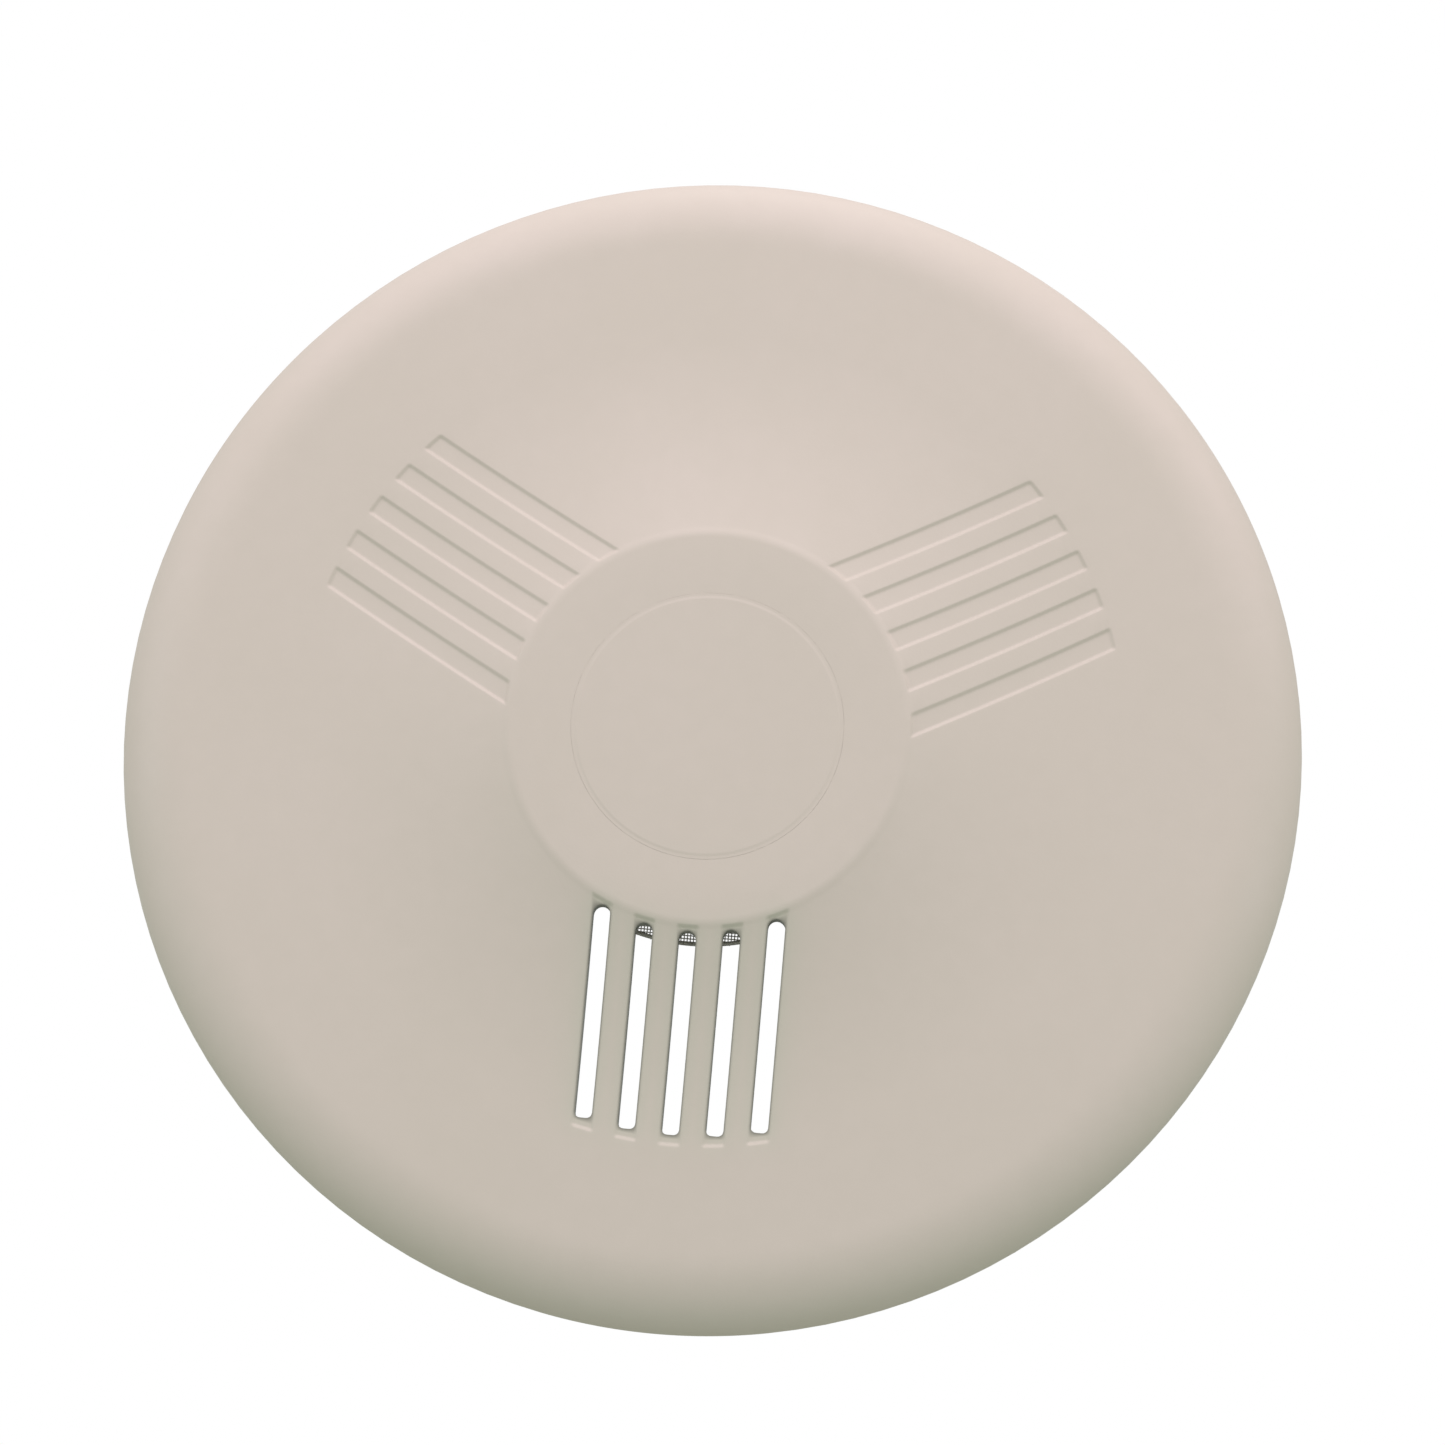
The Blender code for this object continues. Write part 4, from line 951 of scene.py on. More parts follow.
    def rim_rows(self) -> Profile:
        """Draws the outside from the roll to the edge, then the inside back up to the rib.

        Returns:
            The radius and height of each row.
        """
        rows: Profile = []
        for i in range(1, 17):
            turn = math.pi / 2 * (1 - i / 16)
            radius = self.rim_radius - self.roll_width * (1 - math.cos(turn))
            rows.append((radius, self.ring - self.roll_drop * (1 - math.sin(turn))))
        edge = self.ring - self.skirt_depth
        skirt = self.rim_radius - self.draft
        widest = self.ring - self.roll_drop
        for share in (0.06, 0.3, 0.55, 0.8, 1.0):
            radius = self.rim_radius + (skirt - self.rim_radius) * share
            rows.append((radius, widest + (edge + self.lip - widest) * share))
        rows += arc(self.lip, 0.0, -math.pi / 2, 4, (skirt - self.lip, edge + self.lip))[1:]
        inside = skirt - self.wall
        rows += arc(self.lip, -math.pi / 2, -math.pi, 4, (inside + self.lip, edge + self.lip))
        wide, drop = self.roll_width - self.wall / 2, self.roll_drop - self.wall / 2
        inner_rim = self.rim_radius - self.wall
        for i in range(9):
            turn = math.pi / 2 * i / 8
            radius = inner_rim - wide * (1 - math.cos(turn))
            rows.append((radius, self.under - drop * (1 - math.sin(turn))))
        return rows + self.rib_rows()

    def rib_rows(self) -> Profile:
        """Draws the rib that centres the cover on the housing, from outside to inside.

        Returns:
            The radius and height of each row.
        """
        low, under = self.under - self.rib_depth, self.under
        ease, edge = self.rib_root, self.rib_edge
        inner, outer = self.rib
        rows = [(outer + ease, under), (outer, under - ease), (outer, low + edge)]
        rows += [(outer - edge, low), (inner + edge, low), (inner, low + edge)]
        return rows + [(inner, under - ease), (inner - ease, under)]

    def collar_rows(self) -> Profile:
        """Draws the underside of the boss, the collar round the hole and the hole's wall.

        Returns:
            The radius and height of each row.
        """
        under, low = self.boss_under, self.boss_under - self.collar_depth
        edge, ease, hole = self.edge, self.hole_ease, self.hole_radius
        inner, outer = self.collar
        rows = [(radius, under - sunk) for radius, sunk in self.boss_inside]
        rows += [(outer + self.root, under), (outer, under - self.root)]
        rows += [(outer, low + edge), (outer - edge, low), (inner + edge, low), (inner, low + edge)]
        rows += [(inner, under - edge), (inner - edge, under), (hole, under)]
        return rows + [(hole, under + ease), (hole, self.hole_edge - ease), (hole, self.hole_edge)]

    def build(self) -> bpy.types.Object:
        """Builds the cover as one table of rows and columns, with the slots cut through.

        Returns:
            The finished piece, without its material.
        """
        face, rim, collar = self.face_radii(), self.rim_rows(), self.collar_rows()
        first = face.index(self.slot_start)
        last = face.index(self.slot_end)
        back = [r for r in face[first - self.lead_rows :] if r < self.rib[0] - 0.5 * MM][::-1]
        radii = np.array(face + [r for r, _ in rim] + back + [r for r, _ in collar])
        fixed = np.array([z for _, z in rim]), np.array([z for _, z in collar])
        lines = np.array(self.group_columns())
        offsets = np.array(self.offsets())
        nearest = offsets[np.abs(lines[:, None] - offsets[None, :]).argmin(axis=1)]
        aside = lines - nearest
        is_face = np.zeros(len(radii), bool)
        is_face[: len(face)] = True
        back_start = len(face) + len(rim)
        is_back = np.zeros(len(radii), bool)
        is_back[back_start : back_start + len(back)] = True
        starts, ends = self.slot_limits(aside, nearest)

        blocks = []
        for group, degrees in enumerate(self.groups):
            grid = np.repeat(radii[:, None], len(lines), axis=1)
            if group == self.open_group:
                in_slot = (radii >= self.slot_start - 1e-9) & (radii <= self.slot_end + 1e-9)
                in_slot &= is_face | is_back
                share = (radii - self.slot_start) / (self.slot_end - self.slot_start)
                warped = starts[None, :] + (ends - starts)[None, :] * share[:, None]
                grid = np.where(in_slot[:, None], warped, grid)
            turn = math.radians(degrees) + np.arcsin(lines[None, :] / grid)
            height = self.heights(grid, is_face, is_back, fixed, aside)
            blocks.append((grid, turn, height))
        table = []
        for group in range(len(blocks)):
            grid, turn, height = blocks[group]
            ahead = blocks[(group + 1) % len(blocks)]
            start = turn[:, -1]
            end = ahead[1][:, 0] + (math.tau if group == len(blocks) - 1 else 0.0)
            shares = np.arange(1, self.between) / self.between
            middle = start[:, None] + (end - start)[:, None] * shares[None, :]
            ring = np.repeat(radii[:, None], len(shares), axis=1)
            plain = np.full(len(shares), 10.0)
            level = self.heights(ring, is_face, is_back, fixed, plain)
            table += [(grid, turn, height), (ring, middle, level)]
        radius, turn, height = (np.hstack([block[i] for block in table]) for i in range(3))
        points = np.stack([radius * np.cos(turn), radius * np.sin(turn), height], axis=-1)
        return self.knit(points, lines, aside, (first, last), back_start, len(back))

    def heights(
        self,
        grid: np.ndarray,
        is_face: np.ndarray,
        is_back: np.ndarray,
        fixed: tuple[np.ndarray, np.ndarray],
        aside: np.ndarray,
    ) -> np.ndarray:
        """Height of every corner of the table.

        Args:
            grid: The corners' radii, row by row.
            is_face: Which rows lie on the face.
            is_back: Which rows lie on the face's underside.
            fixed: Heights of the rows of the rim and of the collar.
            aside: Distance of each column from its groove's middle line.

        Returns:
            The heights, row by row.
        """
        share = self.groove_share(grid, np.broadcast_to(aside, grid.shape))
        face = self.smooth_face(grid) - self.groove_depth * share
        under = self.flare(grid) - self.wall
        level = np.zeros(len(is_face))
        plain = ~(is_face | is_back)
        level[plain] = np.concatenate(fixed)
        out = np.where(is_face[:, None], face, level[:, None])
        return np.where(is_back[:, None], under, out)

    def knit(
        self,
        points: np.ndarray,
        lines: np.ndarray,
        aside: np.ndarray,
        slot_rows: tuple[int, int],
        back_start: int,
        back_count: int,
    ) -> bpy.types.Object:
        """Joins the table with faces, leaves the slots open and gives them walls.

        Args:
            points: The corners, row by row.
            lines: The columns of one group.
            aside: Distance of each column from its groove's middle line.
            slot_rows: The rows at which the slots start and end on the face.
            back_start: The first row of the underside.
            back_count: How many rows the underside has.

        Returns:
            The finished piece, without its material.
        """
        draft = Draft()
        rows = [[draft.mesh.verts.new(p) for p in row] for row in points]
        count = len(rows)
        width = points.shape[1]
        first_column = self.open_group * (len(lines) + self.between - 1)
        inside = np.abs(aside) < self.slot_half + 1e-6
        open_columns = {
            first_column + j for j in range(len(lines) - 1) if inside[j] and inside[j + 1]
        }
        start, end = slot_rows
        depth = end - start
        back_first = back_start + back_count - 1 - self.lead_rows
        open_face = set(range(start, end))
        open_back = set(range(back_first - depth, back_first))
        for i in range(count):
            upper, lower = rows[i], rows[(i + 1) % count]
            for j in range(width):
                if j in open_columns and (i in open_face or i in open_back):
                    continue
                k = (j + 1) % width
                draft.mesh.faces.new((upper[j], upper[k], lower[k], lower[j]))

        def behind(row: int) -> list[bmesh.types.BMVert]:
            """The underside's row that lies behind a row of the face."""
            return rows[back_first - (row - start)]

        for j in sorted(open_columns):
            for row in (start, end):
                draft.mesh.faces.new(
                    (rows[row][j], rows[row][j + 1], behind(row)[j + 1], behind(row)[j])
                )
            for edge, column in ((j - 1, j), (j + 1, j + 1)):
                if edge in open_columns:
                    continue
                for row in range(start, end):
                    draft.mesh.faces.new(
                        (
                            rows[row][column],
                            rows[row + 1][column],
                            behind(row + 1)[column],
                            behind(row)[column],
                        )
                    )
        for degrees in self.posts:
            low, bore, outer = self.extent.low.z, self.bore_radius, self.post_radius
            edge, sunk = self.edge, self.under + self.edge
            profile = [(0, self.bore_top), (bore, self.bore_top), (bore, low + edge)]
            profile += [(bore + edge, low), (outer - edge, low), (outer, low + edge)]
            profile += [(outer + self.root, sunk), (0, sunk)]
            draft.lathe(profile, polar(self.post_circle, degrees), 32)
        made = draft.finish("front_cover_shell", 32.0)
        even_shading(made)
        return made

    def slot_distance(self, x: np.ndarray, y: np.ndarray) -> np.ndarray:
        """How far points lie outside the nearest slot, as seen from the front.

        Args:
            x: Their places across the face.
            y: Their places up the face.

        Returns:
            The distances, none below 0.
        """
        turn = math.radians(self.groups[self.open_group])
        out = x * math.cos(turn) + y * math.sin(turn)
        across = -x * math.sin(turn) + y * math.cos(turn)
        best = np.full(x.shape, np.inf)
        corner = self.slot_corner
        for offset in self.offsets():
            near = math.sqrt(self.slot_start**2 - offset**2) + self.slot_half
            far = math.sqrt(self.slot_end**2 - offset**2) - corner
            aside = np.abs(across - offset)
            start = np.hypot(np.minimum(out - near, 0.0), aside) - self.slot_half
            square = np.maximum(aside - self.slot_half + corner, 0.0)
            end = np.hypot(np.maximum(out - far, 0.0), square) - corner
            gap = np.where(out < near, start, end)
            best = np.minimum(best, np.maximum(gap, 0.0))
        return best

    def paint_slot_shade(self, made: bpy.types.Object) -> None:
        """Marks where painted shade goes: a dark line on the slots' edges and walls, and a faint
        haze round them.

        Args:
            made: The cover.
        """
        mesh = made.data
        flat = np.empty(len(mesh.vertices) * 3)
        mesh.vertices.foreach_get("co", flat)
        x, _, y = flat.reshape(-1, 3).T
        gap = self.slot_distance(x, y)
        # Painted shade: strongest on the slots' edges and walls, with a haze that fades away from
        # them.
        edge = np.exp(-((gap / self.slot_edge_shade_width) ** 2))
        # The haze of painted shade fades out over a few millimetres round the slots.
        cloud = np.exp(-gap / self.slot_haze_shade_width)
        for name, values in ((SLOT_EDGE_SHADE, edge), (SLOT_HAZE_SHADE, cloud)):
            layer = mesh.attributes.new(name, "FLOAT", "POINT")
            layer.data.foreach_set("value", values.astype(np.float32))

    def dress(self) -> bpy.types.Object:
        """Builds the cover and seats it on the head.

        Returns:
            The finished piece.
        """
        made = self.build()
        self.paint_slot_shade(made)
        seat(made, Body.HEAD, Finishes.COVER, ("front_cover",))
        return made


@dataclass
class TestButton:
    """The centre disc: a shallow cup with a flange under the boss and a stem."""

    extent: Extent
    radius: float = 17.366 * MM
    crown: float = 0.07 * MM
    ledge: float = 0.28 * MM
    bevel: Point2 = (0.5 * MM, 0.05 * MM)
    wall: float = 1.5 * MM
    flange: Point2 = (37.1 * MM, 35.6 * MM)
    flange_gap: float = 0.3 * MM
    edge: float = 0.15 * MM
    inner_ease: float = 0.4 * MM
    inner_flat: float = 8.0 * MM
    stem_place: Point2 = (0.0, 9.5 * MM)
    stem_radius: float = 2.0 * MM
    stem_edge: float = 0.2 * MM
    stem_foot: float = 0.5 * MM

    def dress(self) -> bpy.types.Object:
        """Builds the button and seats it on its own body.

        Returns:
            The finished piece.
        """
        top = self.extent.high.z
        outer = self.extent.radius
        high, low = self.flange[0] - self.flange_gap, self.flange[1]
        inner, edge, under = self.radius - self.wall, self.edge, top - self.wall
        draft = Draft()
        flat = self.radius - self.ledge - self.bevel[0]
        profile: Profile = [(0, top)]
        profile += [(flat * i / 8, top - self.crown * (i / 8) ** 2) for i in range(1, 9)]
        for i in range(1, 7):
            sunk = self.bevel[1] * smoothstep(i / 6)
            profile.append((flat + self.bevel[0] * i / 6, top - self.crown - sunk))
        profile.append((self.radius, top - self.crown - self.bevel[1]))
        profile += [(self.radius, high + edge), (self.radius + edge, high)]
        profile += [(outer - edge, high), (outer, high - edge)]
        profile += [(outer, low + edge), (outer - edge, low), (inner + edge, low)]
        profile += [(inner, low + edge), (inner, under - self.inner_ease)]
        profile += [(inner - self.inner_ease, under), (self.inner_flat, under), (0, under)]
        draft.lathe(profile, (0, 0), 256)
        foot, stem, ease = self.extent.low.z, self.stem_radius, self.stem_edge
        line = [(0, foot), (stem - ease, foot), (stem, foot + ease)]
        line += [(stem, under - self.inner_ease), (stem + self.stem_foot, under + ease)]
        draft.lathe(line + [(0, under + ease)], self.stem_place, 32)
        made = draft.finish("test_button_disc")
        even_shading(made)
        seat(made, Body.BUTTON, Finishes.COVER, ("test_button",))
        return made


def tongue_line(reach: float, radius: float, half: float, centre: Point2) -> Profile:
    """The outline of a round cap with a tongue that points down the face.

    Args:
        reach: The distance of the tongue's end from the detector's axis.
        radius: The cap's radius.
        half: Half of the tongue's width.
        centre: The middle of the cap.

    Returns:
        The outline's corners.
    """
    down = -math.pi / 2
    side, cap = math.asin(half / reach), math.asin(half / radius)
    tongue = arc(reach, down - side, down + side, 24)
    return tongue + arc(radius, down + cap, down + math.tau - cap, 48, centre)


@dataclass
class CellHolder:
    """The collar round the gas cell, and the hood that carries the screen."""

    extent: Extent
    wall: float = 0.9 * MM
    hood: float = 1.2 * MM
    port: float = 7.0 * MM
    tongue_half: float = 8.4 * MM
    tongue_reach: float = 24.9 * MM
    edge: float = 0.15 * MM

    def dress(self) -> bpy.types.Object:
        """Builds the holder and seats it on the head.

        Returns:
            The finished piece.
        """
        outer = self.extent.radius
        inner, low, top = outer - self.wall, self.extent.low.z, self.extent.high.z
        centre = (0.0, self.extent.high.y - outer)
        ease, under = self.edge, top - self.hood
        collar: Profile = [(inner, under + ease), (inner, low + ease), (inner + ease, low)]
        collar += [(outer - ease, low), (outer, low + ease), (outer, under + ease)]
        body = Draft()
        body.lathe(collar, centre, 96)
        made = body.finish("cell_holder_moulding")
        hood, port = Draft(), Draft()
        line = tongue_line(self.tongue_reach, outer, self.tongue_half, centre)
        hood.prism(line, under, top)
        carve(made, hood, joined=True)
        port.prism(arc(self.port, 0, math.tau, 96, centre)[:-1], under - MM, top + MM)
        carve(made, port)
        mark_edges(made, 30.0)
        even_shading(made)
        seat(made, Body.HEAD, Finishes.HOLDER, ("cell_holder",))
        return made


@dataclass
class InsectScreen:
    """A woven wire screen over the cell's mouth, with a tongue towards the slots."""

    extent: Extent
    pitch: float = 0.4 * MM
    wire: float = 0.08 * MM
    tongue_half: float = 8.4 * MM
    tongue_reach: float = 27.2 * MM
    cap_radius: float = 11.4 * MM
    hem_inset: float = 0.25 * MM
    hem_radius: float = 0.28 * MM
    sides: int = 5

    def span(self, x: float) -> Point2 | None:
        """Lowest and highest point of the screen along an upright line.

        Args:
            x: Where the line stands.

        Returns:
            The two heights, or None where the screen doesn't reach.
        """
        middle = self.extent.high.y - self.cap_radius
        if abs(x) >= self.cap_radius:
            return None
        rise = math.sqrt(self.cap_radius**2 - x**2)
        low = middle - rise
        if abs(x) <= self.tongue_half:
            low = -math.sqrt(self.tongue_reach**2 - x**2)
        return (low, middle + rise)

    def reach(self, y: float) -> float:
        """Tells how far the screen goes to either side at a height.

        Args:
            y: The height.

        Returns:
            Half of its width there, 0 above and below it.
        """
        middle = self.extent.high.y - self.cap_radius
        across = self.cap_radius**2 - (y - middle) ** 2
        width = math.sqrt(across) if across > 0 else 0.0
        if y < middle:
            left = self.tongue_reach**2 - y**2
            width = max(width, min(self.tongue_half, math.sqrt(max(left, 0.0))))
        return width

    def dress(self) -> bpy.types.Object:
        """Weaves the wires and seats the screen on the head.

        Returns:
            The finished piece.
        """
        draft = Draft()
        middle = (self.extent.low.z + self.extent.high.z) / 2
        swing = self.wire * 0.9
        count = int(self.cap_radius / self.pitch)
        for i in range(-count, count + 1):
            x = i * self.pitch
            ends = self.span(x)
            if ends is None:
                continue
            steps = max(2, int((ends[1] - ends[0]) / self.pitch * 2))
            path = []
            for j in range(steps + 1):
                y = ends[0] + (ends[1] - ends[0]) * j / steps
                lift = swing * math.cos(math.pi * (y / self.pitch + i))
                path.append(Vector((x, y, middle + lift)))
            draft.tube(path, self.wire, self.sides)
        top = self.extent.high.y
        rows = int((top + self.tongue_reach) / self.pitch)
        for i in range(rows):
            y = -self.tongue_reach + self.wire + i * self.pitch
            width = self.reach(y)
            if width < self.pitch:
                continue
            steps = max(2, int(width / self.pitch * 4))
            path = []
            for j in range(steps + 1):
                x = -width + 2 * width * j / steps
                lift = -swing * math.cos(math.pi * (x / self.pitch + i))
                path.append(Vector((x, y, middle + lift)))
            draft.tube(path, self.wire, self.sides)
        self.hem(draft, middle)
        made = draft.finish("insect_screen_weave", 60.0)
        seat(made, Body.HEAD, Finishes.SCREEN, ("insect_screen",))
        return made

    def hem(self, draft: Draft, height: float) -> None:
        """Runs a pressed hem round the screen's edge.

        Args:
            draft: The mesh that it is added to.
            height: The height of its centre line.
        """
        inset = self.hem_inset
        reach, radius = self.tongue_reach - inset, self.cap_radius - inset
        centre = (0.0, self.extent.high.y - self.cap_radius)
        line = tongue_line(reach, radius, self.tongue_half - inset, centre)
        line.append(line[0])
        draft.tube([Vector((x, y, height)) for x, y in line], self.hem_radius, 8)


# ---- the plate on the wall ----
@dataclass
class BasePlate:
    """The plate on the wall: rim, ledges, stops, pads, slots, wire entry and window."""

    extent: Extent
    pads: tuple[Point2, ...]
    thick: float = 2.5 * MM
    rim: float = 62.0 * MM
    ease: float = 0.4 * MM
    recess: Point2 = (57.7 * MM, 62.3 * MM)
    recess_depth: float = 0.8 * MM
    ribs: int = 24
    rib_half: float = 0.6 * MM
    ledge: Point2 = (58.0 * MM, 63.0 * MM)
    ledge_heights: Point2 = (7.0 * MM, 9.0 * MM)
    ledge_span: float = math.radians(18)
    stop_inner: float = 58.5 * MM
    stop_span: float = math.radians(2)
    stop_shift: float = math.radians(9.3)
    locks: tuple[int, ...] = (90, 210, 330)
    pad: Point2 = (25.2 * MM, 40.25 * MM)
    pad_half: float = 4.8 * MM
    pad_top: float = 4.5 * MM
    screw_bore: float = 1.9 * MM
    bore_floor: float = 0.9 * MM
    wire: Point2 = (13.0 * MM, 8.0 * MM)
    box_slot: Point2 = (39.55 * MM, 43.95 * MM)
    box_span: float = math.radians(14)
    window: tuple[float, float, float, float] = (-19.9 * MM, 18.4 * MM, -53.0 * MM, -11.5 * MM)
    window_corner: float = 1.2 * MM
    inner_flat: float = 30.0 * MM
    rib_sunk: float = 0.15 * MM
    rib_overlap: float = 0.5 * MM
    cut_past: float = 4.0 * MM

    def body(self) -> bpy.types.Object:
        """Turns the disc with its rim and the shallow ring in its back.

        Returns:
            The disc.
        """
        outer, top, ease = self.extent.radius, self.extent.high.z, self.ease
        inner, edge = self.recess
        deep = self.recess_depth
        profile: Profile = [(0, 0), (self.inner_flat, 0), (inner - ease, 0)]
        profile += [(inner, ease), (inner, deep), (edge, deep), (edge, ease), (edge + ease, 0)]
        profile += arc(ease, -math.pi / 2, 0, 4, (outer - ease, ease))
        profile += arc(ease, 0, math.pi / 2, 4, (outer - ease, top - ease))
        profile += arc(ease, math.pi / 2, math.pi, 4, (self.rim + ease, top - ease))
        profile += [(self.rim, self.thick + ease), (self.rim - ease, self.thick), (0, self.thick)]
        draft = Draft()
        draft.lathe(profile, (0, 0), 192)
        return draft.finish("base_plate_moulding")

    def additions(self) -> list[Draft]:
        """Draws the ledges, the stops, the pads and the ribs in the back's shallow ring.

        Returns:
            The solids to join to the disc, a draft for each kind.
        """
        ledges, stops, pads, ribs = Draft(), Draft(), Draft(), Draft()
        low, high = self.ledge_heights
        for degrees in self.locks:
            turn = math.radians(degrees)
            ledges.prism(sector(*self.ledge, turn, self.ledge_span), low, high)
            shifted = turn - self.stop_shift
            stop = sector(self.stop_inner, self.ledge[1], shifted, self.stop_span, 3)
            stops.prism(stop, self.thick / 2, (low + high) / 2)
        for place in self.pads:
            turn = math.atan2(place[1], place[0])
            bar = self.bar(turn, *self.pad, self.pad_half)
            pads.prism(bar, self.thick / 2, self.pad_top)
        for i in range(self.ribs):
            turn = math.tau * (i + 0.5) / self.ribs
            start, end = self.recess[0] - self.rib_overlap, self.recess[1] + self.rib_overlap
            ribs.prism(self.bar(turn, start, end, self.rib_half), self.rib_sunk, self.thick / 2)
        return [ledges, stops, pads, ribs]

    def bar(self, turn: float, start: float, end: float, half: float) -> Profile:
        """A straight bar that points away from the axis.

        Args:
            turn: The angle that it points in, in radians.
            start: The radius of its inner end.
            end: The radius of its outer end.
            half: Half of its width.

        Returns:
            Its corners.
        """
        corners = [(start, -half), (end, -half), (end, half), (start, half)]
        ahead, side = math.cos(turn), math.sin(turn)
        return [(u * ahead - v * side, u * side + v * ahead) for u, v in corners]

    def cutters(self) -> list[Draft]:
        """Draws the wire entry, the box slots and the window, with eased backs, and the bores.

        Returns:
            The solids to cut out of the disc: the openings and the bores.
        """
        openings, bores = Draft(), Draft()
        for grown in (self.wire_levels, self.window_levels):
            openings.loft(grown())
        for middle in (0.0, math.pi):
            levels = []
            for grow, z in self.flared():
                span = self.box_span + 2 * grow / self.box_slot[0]
                inner, outer = self.box_slot[0] - grow, self.box_slot[1] + grow
                levels.append((sector(inner, outer, middle, span), z))
            openings.loft(levels)
        for place in self.pads:
            outline = arc(self.screw_bore, 0, math.tau, 24, place)[:-1]
            bores.prism(outline, self.bore_floor, self.pad_top + MM)
        return [openings, bores]

    def flared(self) -> list[tuple[float, float]]:
        """How much wider an opening is at each height, from behind the plate to its front."""
        ease, top = self.ease, self.thick + self.cut_past
        return [(2 * ease, -ease), (0.0, ease), (0.0, top)]

    def wire_levels(self) -> list[tuple[Profile, float]]:
        """The wire entry at each height."""
        radius, height = self.wire
        return [(arc(radius + g, 0, math.tau, 96, (0, height))[:-1], z) for g, z in self.flared()]

    def window_levels(self) -> list[tuple[Profile, float]]:
        """Draws the window at each height.

        Returns:
            Its outline and the height, from behind the plate to its front.
        """
        left, right, low, high = self.window
        corner = self.window_corner
        return [
            (soft_box(left - g, right + g, low - g, high + g, corner + g), z)
            for g, z in self.flared()
        ]

    def dress(self) -> bpy.types.Object:
        """Builds the plate and seats it on the base.

        Returns:
            The finished piece.
        """
        made = self.body()
        for solids in self.additions():
            carve(made, solids, joined=True)
        for solids in self.cutters():
            carve(made, solids)
        mark_edges(made, 30.0)
        even_shading(made)
        seat(made, Body.BASE, Finishes.BASE, ("base_plate",))
        return made


# ---- parts kept from the frame ----
CARRIED: dict[str, Finish] = {
    "tamper_magnet": Finishes.NICKEL,
    "rear_housing": Finishes.BASE,
    "housing_gasket": Finishes.GASKET,
    "circuit_board": Finishes.BOARD,
    "co_cell": Finishes.CELL,
    "charcoal_filter": Finishes.CHARCOAL,
    "sounder_case": Finishes.SOUNDER,
    "piezo_disc": Finishes.BRASS,
    "alarm_relay": Finishes.RELAY,
    "microcontroller": Finishes.CHIP,
    "voltage_regulator": Finishes.CHIP,
    "capacitor": Finishes.SLEEVE,
    "thermistor": Finishes.BEAD,
    "reed_switch": Finishes.BEAD,
    "status_led_1": Finishes.GREEN_LAMP,
    "status_led_2": Finishes.RED_LAMP,
    "light_guide": Finishes.ACRYLIC,
    "switch_body": Finishes.CHIP,
    "switch_plunger": Finishes.SWITCH,
    "terminal_contact": Finishes.BRASS,
    "contact_blade": Finishes.BRASS,
    "terminal_screw": Finishes.ZINC,
    "housing_screw": Finishes.ZINC,
    "board_screw": Finishes.ZINC,
}


class Carried:
    """The frame's own parts, with the finishes that they show."""

    def dress(self) -> None:
        """Gives every part of the frame that stays its finish."""
        for name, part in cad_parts.items():
            finish = next((f for key, f in CARRIED.items() if name.startswith(key)), None)
            if finish is None:
                continue
            for slot in part.material_slots:
                slot.material = finish.material()
            LOG.info("%s keeps its shape in %s", name, finish.slot)


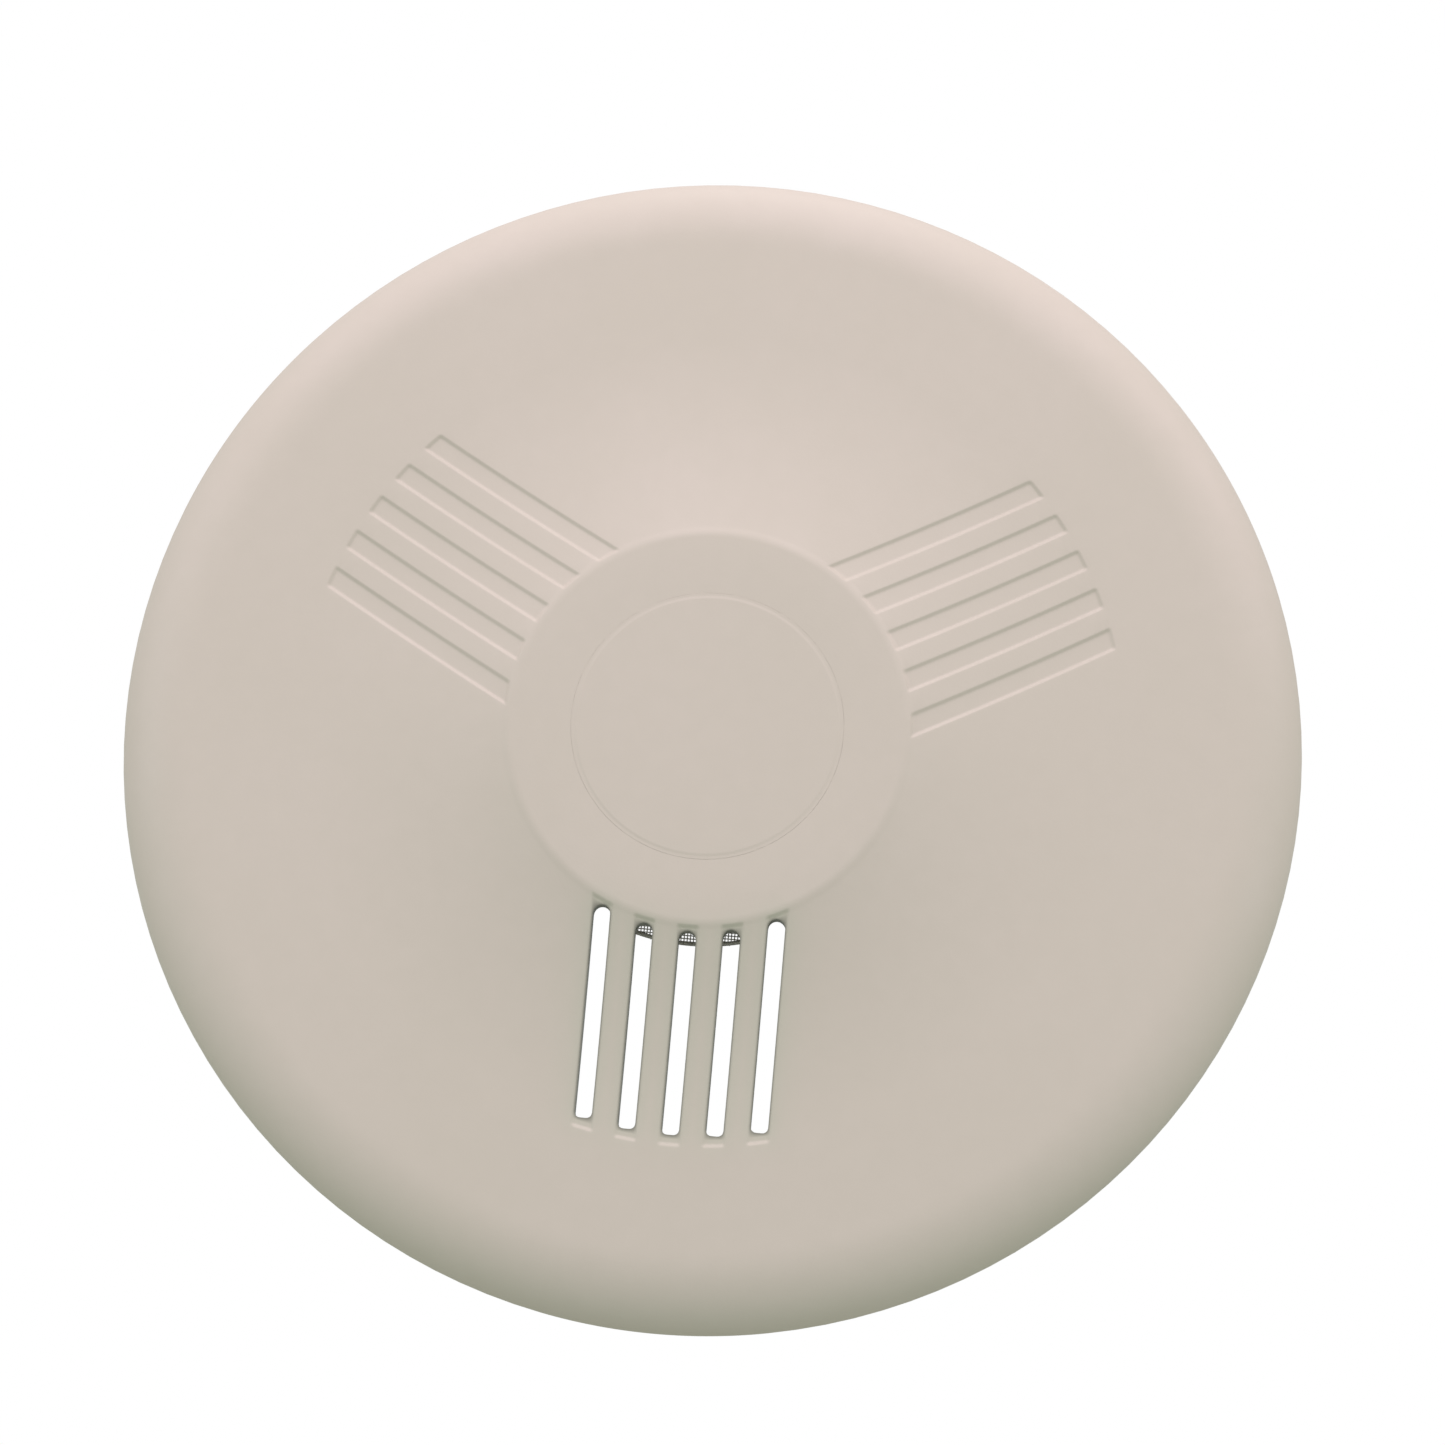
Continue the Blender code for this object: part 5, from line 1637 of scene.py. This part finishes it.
# ---- the studio ----
@dataclass
class Studio:
    """A pale floor, a bright room and soft lamps, seen from a little below."""

    floor_height: float = -0.9
    floor_radius: float = 6.0
    camera_place: tuple[float, float, float] = (0.027005, -0.490986, -0.103919)
    camera_turn: tuple[float, float, float] = (103.0558, -5.2554, 1.9642)
    lens: float = 90.996
    room: Colour = (0.66, 0.70, 0.67)
    lamps: tuple[tuple[str, tuple[float, float, float], float, float, Colour], ...] = (
        ("lamp_over_edge", (0.0, -0.12, 0.6), 0.4, 0.62, (1.0, 1.0, 1.0)),
        ("lamp_above", (0.0, -0.6, 0.6), 0.5, 1.49, (1.0, 0.78, 0.97)),
        ("lamp_above_left", (-0.45, -0.35, 0.5), 0.4, 1.03, (1.0, 0.73, 0.85)),
        ("lamp_above_right", (0.45, -0.35, 0.5), 0.4, 1.165, (1.0, 0.73, 0.84)),
        ("lamp_left", (-0.7, -0.5, 0.1), 0.5, 0.95, (0.80, 0.97, 1.0)),
        ("lamp_right", (0.7, -0.5, 0.1), 0.5, 0.80, (0.79, 1.0, 1.0)),
    )

    def camera(self) -> None:
        """Places the camera below the middle, looking up at the face."""
        data = bpy.data.cameras.new("camera")
        data.sensor_width = 36.0
        data.lens = self.lens
        data.clip_start, data.clip_end = 0.01, 50.0
        made = bpy.data.objects.new("camera", data)
        made.location = self.camera_place
        made.rotation_euler = [math.radians(a) for a in self.camera_turn]
        bpy.context.scene.collection.objects.link(made)
        bpy.context.scene.camera = made

    def floor(self) -> None:
        """Lays a pale round floor far below the detector."""
        draft = Draft()
        rows = []
        for radius in (0.5, 1.0, 2.0, 3.5, self.floor_radius):
            spots = arc(radius, 0, math.tau, 64)[:-1]
            rows.append([draft.mesh.verts.new((x, self.floor_height, y)) for x, y in spots])
        draft.quads(rows, around=True, along=False)
        draft.mesh.faces.new(rows[0])
        made = draft.finish("floor")
        recipe = Recipe("pale_floor")
        cloud = recipe.spread(recipe.grain(0.4, 4.0), 0.0, 1.0)
        recipe.wire("Base Color", recipe.blend(cloud, (0.62, 0.65, 0.58), (0.60, 0.63, 0.56)))
        recipe.wire("Roughness", recipe.spread(recipe.grain(0.05, 3.0), 0.6, 0.8))
        made.data.materials.append(recipe.material)

    def surroundings(self) -> None:
        """A plain white room that lights the detector softly from all round."""
        world = bpy.data.worlds.new("bright_room")
        world.use_nodes = True
        nodes, links = world.node_tree.nodes, world.node_tree.links
        soft = nodes["Background"]
        soft.inputs["Color"].default_value = (*self.room, 1.0)
        white = nodes.new("ShaderNodeBackground")
        white.inputs["Color"].default_value = (1.0, 1.0, 1.0, 1.0)
        rays, choice = nodes.new("ShaderNodeLightPath"), nodes.new("ShaderNodeMixShader")
        links.new(rays.outputs["Is Camera Ray"], choice.inputs[0])
        links.new(soft.outputs[0], choice.inputs[1])
        links.new(white.outputs[0], choice.inputs[2])
        links.new(choice.outputs[0], nodes["World Output"].inputs["Surface"])
        bpy.context.scene.world = world

    def light(self) -> None:
        """Lights the room evenly and adds the soft lamps."""
        self.surroundings()
        for name, place, size, power, colour in self.lamps:
            data = bpy.data.lights.new(name, "AREA")
            data.shape = "DISK"
            data.size = size
            data.energy = power
            data.color = colour
            made = bpy.data.objects.new(name, data)
            made.location = place
            aim = -Vector(place)
            made.rotation_mode = "QUATERNION"
            made.rotation_quaternion = aim.to_track_quat("-Z", "Y")
            bpy.context.scene.collection.objects.link(made)

    def dress(self) -> None:
        """Sets up the camera, the floor, the lamps and the colour response."""
        self.camera()
        self.floor()
        self.light()
        bpy.context.scene.view_settings.view_transform = "Standard"


def main() -> None:
    """Builds the detector's looks in order."""
    logging.basicConfig(level=logging.INFO, format="%(name)s: %(message)s")
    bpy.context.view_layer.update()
    FrontCover(Extent.of("front_cover")).dress()
    TestButton(Extent.of("test_button")).dress()
    CellHolder(Extent.of("cell_holder")).dress()
    InsectScreen(Extent.of("insect_screen")).dress()
    screws = tuple(Extent.of(f"terminal_screw_{i}").centre for i in range(1, 5))
    BasePlate(Extent.of("base_plate"), screws).dress()
    Carried().dress()
    Studio().dress()


if __name__ == "__main__":
    main()
